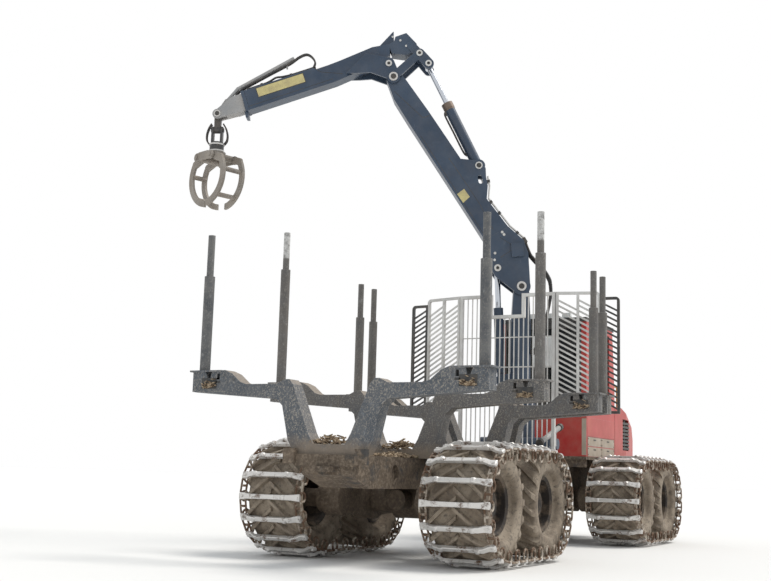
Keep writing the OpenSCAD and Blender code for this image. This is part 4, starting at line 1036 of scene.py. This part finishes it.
def chip(form, rng, at, size):
    """A splinter of bark at one place, turned at random."""
    turn = Matrix.Rotation(rng.uniform(0, math.pi), 4, "Z") @ Matrix.Rotation(rng.uniform(-0.5, 0.5), 4, "Y")
    length, width, thick = size * rng.uniform(0.5, 1.2), size * rng.uniform(0.12, 0.35), size * 0.06
    corner = Vector((length / 2, width / 2, thick))
    form.box(-corner, corner, Matrix.Translation(at) @ turn)


# Middle of each bunk along the machine, and the top of the frame under them
BUNKS = (-6.311, -4.650, -2.563, -2.150)
FRAME_TOP = 0.610
BUNK_FOOT = 0.110

# Bark: chips on the frame and in each window, their sizes, and the heap's half width and rise
FRAME_CHIPS = 1500
WINDOW_CHIPS = 36
CHIP = 0.100
SMALL_CHIP = 0.070
HEAP_HALF = 0.27
HEAP_RISE = 0.100

# Windows in the bunks' ends, filled with near-black blocks as painted shade: (inner and outer distance from the
# middle, low, high)
WINDOWS = ((1.530, 1.740, 1.335, 1.460), (1.480, 1.545, 1.400, 1.425))
WINDOW_FACE = 0.1015
BUNK_BOLTS = ((1.400, 1.400), (1.440, 1.490), (1.800, 1.440), (1.830, 1.350), (1.300, 1.440))


def make_litter(rng):
    """Bark and twigs left on the rear frame, in the bunks and in the windows of the bunks' ends."""
    form = Form()
    for k in range(FRAME_CHIPS):
        x = rng.uniform(-6.40, -4.30) if k % 4 else rng.uniform(-4.3, -1.5)
        y = rng.gauss(0, 0.15)
        if abs(y) > HEAP_HALF:
            continue
        near = max(0.0, 1 - min(abs(x - b) for b in BUNKS) / 0.45)
        over = FRAME_TOP + (BUNK_FOOT if near > 0.77 else 0.0)
        heap = 0.020 + HEAP_RISE * near * max(0.0, 1 - abs(y) / 0.30)
        chip(form, rng, (x, y, over + heap * rng.random()), CHIP)
    for b in BUNKS:
        for side in (-1, 1):
            for face in (-0.108, 0.108):
                for k in range(WINDOW_CHIPS):
                    spot = (b + face, side * rng.uniform(1.545, 1.725), 1.345 + abs(rng.gauss(0, 0.034)))
                    chip(form, rng, spot, SMALL_CHIP)
    form.piece("bark_litter", None, "rear_frame", BARK, smooth=0)


def make_bunk_ends():
    """Bolts, and near-black blocks in the windows of the bunks' ends as painted shade of their hollows."""
    windows = Form()
    bolts = Form()
    for b in BUNKS:
        for side in (-1, 1):
            for inner, outer, z0, z1 in WINDOWS:
                low, high = on_side(side, inner, outer)
                # Painted shade: a near-black block through each window
                windows.box((b - WINDOW_FACE, low, z0), (b + WINDOW_FACE, high, z1))
            for y, z in BUNK_BOLTS:
                for face in (-0.108, 0.092):
                    at = Matrix.Translation((b + face, side * y, z)) @ Matrix.Rotation(math.pi / 2, 4, "Y")
                    bolts.disc(0.014, 0, 0.016, 8, at)
    windows.piece("bunk_end_window_shade", "dark_paint", "rear_frame", smooth=0)
    bolts.piece("bunk_bolts", "stake_steel", "rear_frame")


# Half the floor's size, and the strength of the sky and of the sun
FLOOR_HALF = 150
SKY_STRENGTH = 0.75
SUN_STRENGTH = 2.2


def make_floor():
    """A plain pale floor."""
    mesh = bpy.data.meshes.new("floor")
    half = FLOOR_HALF
    corners = [(-half, -half), (half, -half), (half, half), (-half, half)]
    mesh.from_pydata([(x, y, GROUND) for x, y in corners], [], [(0, 1, 2, 3)])
    floor = bpy.data.objects.new("floor", mesh)
    bpy.context.scene.collection.objects.link(floor)
    s = Shader("floor")
    s.finish((0.80, 0.79, 0.77), 0.9)
    mesh.materials.append(s.material)


def make_light():
    """An even sky that looks white behind the machine, and a wide soft sun from high ahead on its right."""
    world = bpy.data.worlds.new("sky")
    bpy.context.scene.world = world
    world.use_nodes = True
    tree = world.node_tree
    sky = tree.nodes["Background"]
    sky.inputs[0].default_value = (0.90, 0.95, 1.0, 1)
    sky.inputs[1].default_value = SKY_STRENGTH
    white = tree.nodes.new("ShaderNodeBackground")
    white.inputs[0].default_value = (1, 1, 1, 1)
    path = tree.nodes.new("ShaderNodeLightPath")
    seen = path.outputs["Is Camera Ray"]
    for ray in ("Is Glossy Ray", "Is Transmission Ray"):
        either = tree.nodes.new("ShaderNodeMath")
        either.operation = "MAXIMUM"
        tree.links.new(seen, either.inputs[0])
        tree.links.new(path.outputs[ray], either.inputs[1])
        seen = either.outputs[0]
    choice = tree.nodes.new("ShaderNodeMixShader")
    tree.links.new(seen, choice.inputs[0])
    tree.links.new(sky.outputs[0], choice.inputs[1])
    tree.links.new(white.outputs[0], choice.inputs[2])
    tree.links.new(choice.outputs[0], tree.nodes["World Output"].inputs[0])
    data = bpy.data.lights.new("sun", "SUN")
    data.energy = SUN_STRENGTH
    data.angle = math.radians(25)
    data.color = (1.0, 0.97, 0.92)
    sun = bpy.data.objects.new("sun", data)
    sun.rotation_euler = Vector((0.45, -0.5, 1.0)).to_track_quat("Z", "Y").to_euler()
    sun.location = (0, 0, 20)
    bpy.context.scene.collection.objects.link(sun)


set_camera()
dress_nodes()
for bogie in BOGIES:
    make_tyres(bogie)
    make_track(bogie, random.Random(bogie))
make_pins()
make_seam_shade()
make_boom_fittings()
make_boom_hoses()
make_tip_hoses()
make_cylinder_fittings()
make_carrier_trim()
make_side_cylinder()
make_litter(random.Random(7))
make_bunk_ends()
make_floor()
make_light()
bpy.context.scene.view_settings.view_transform = "Standard"
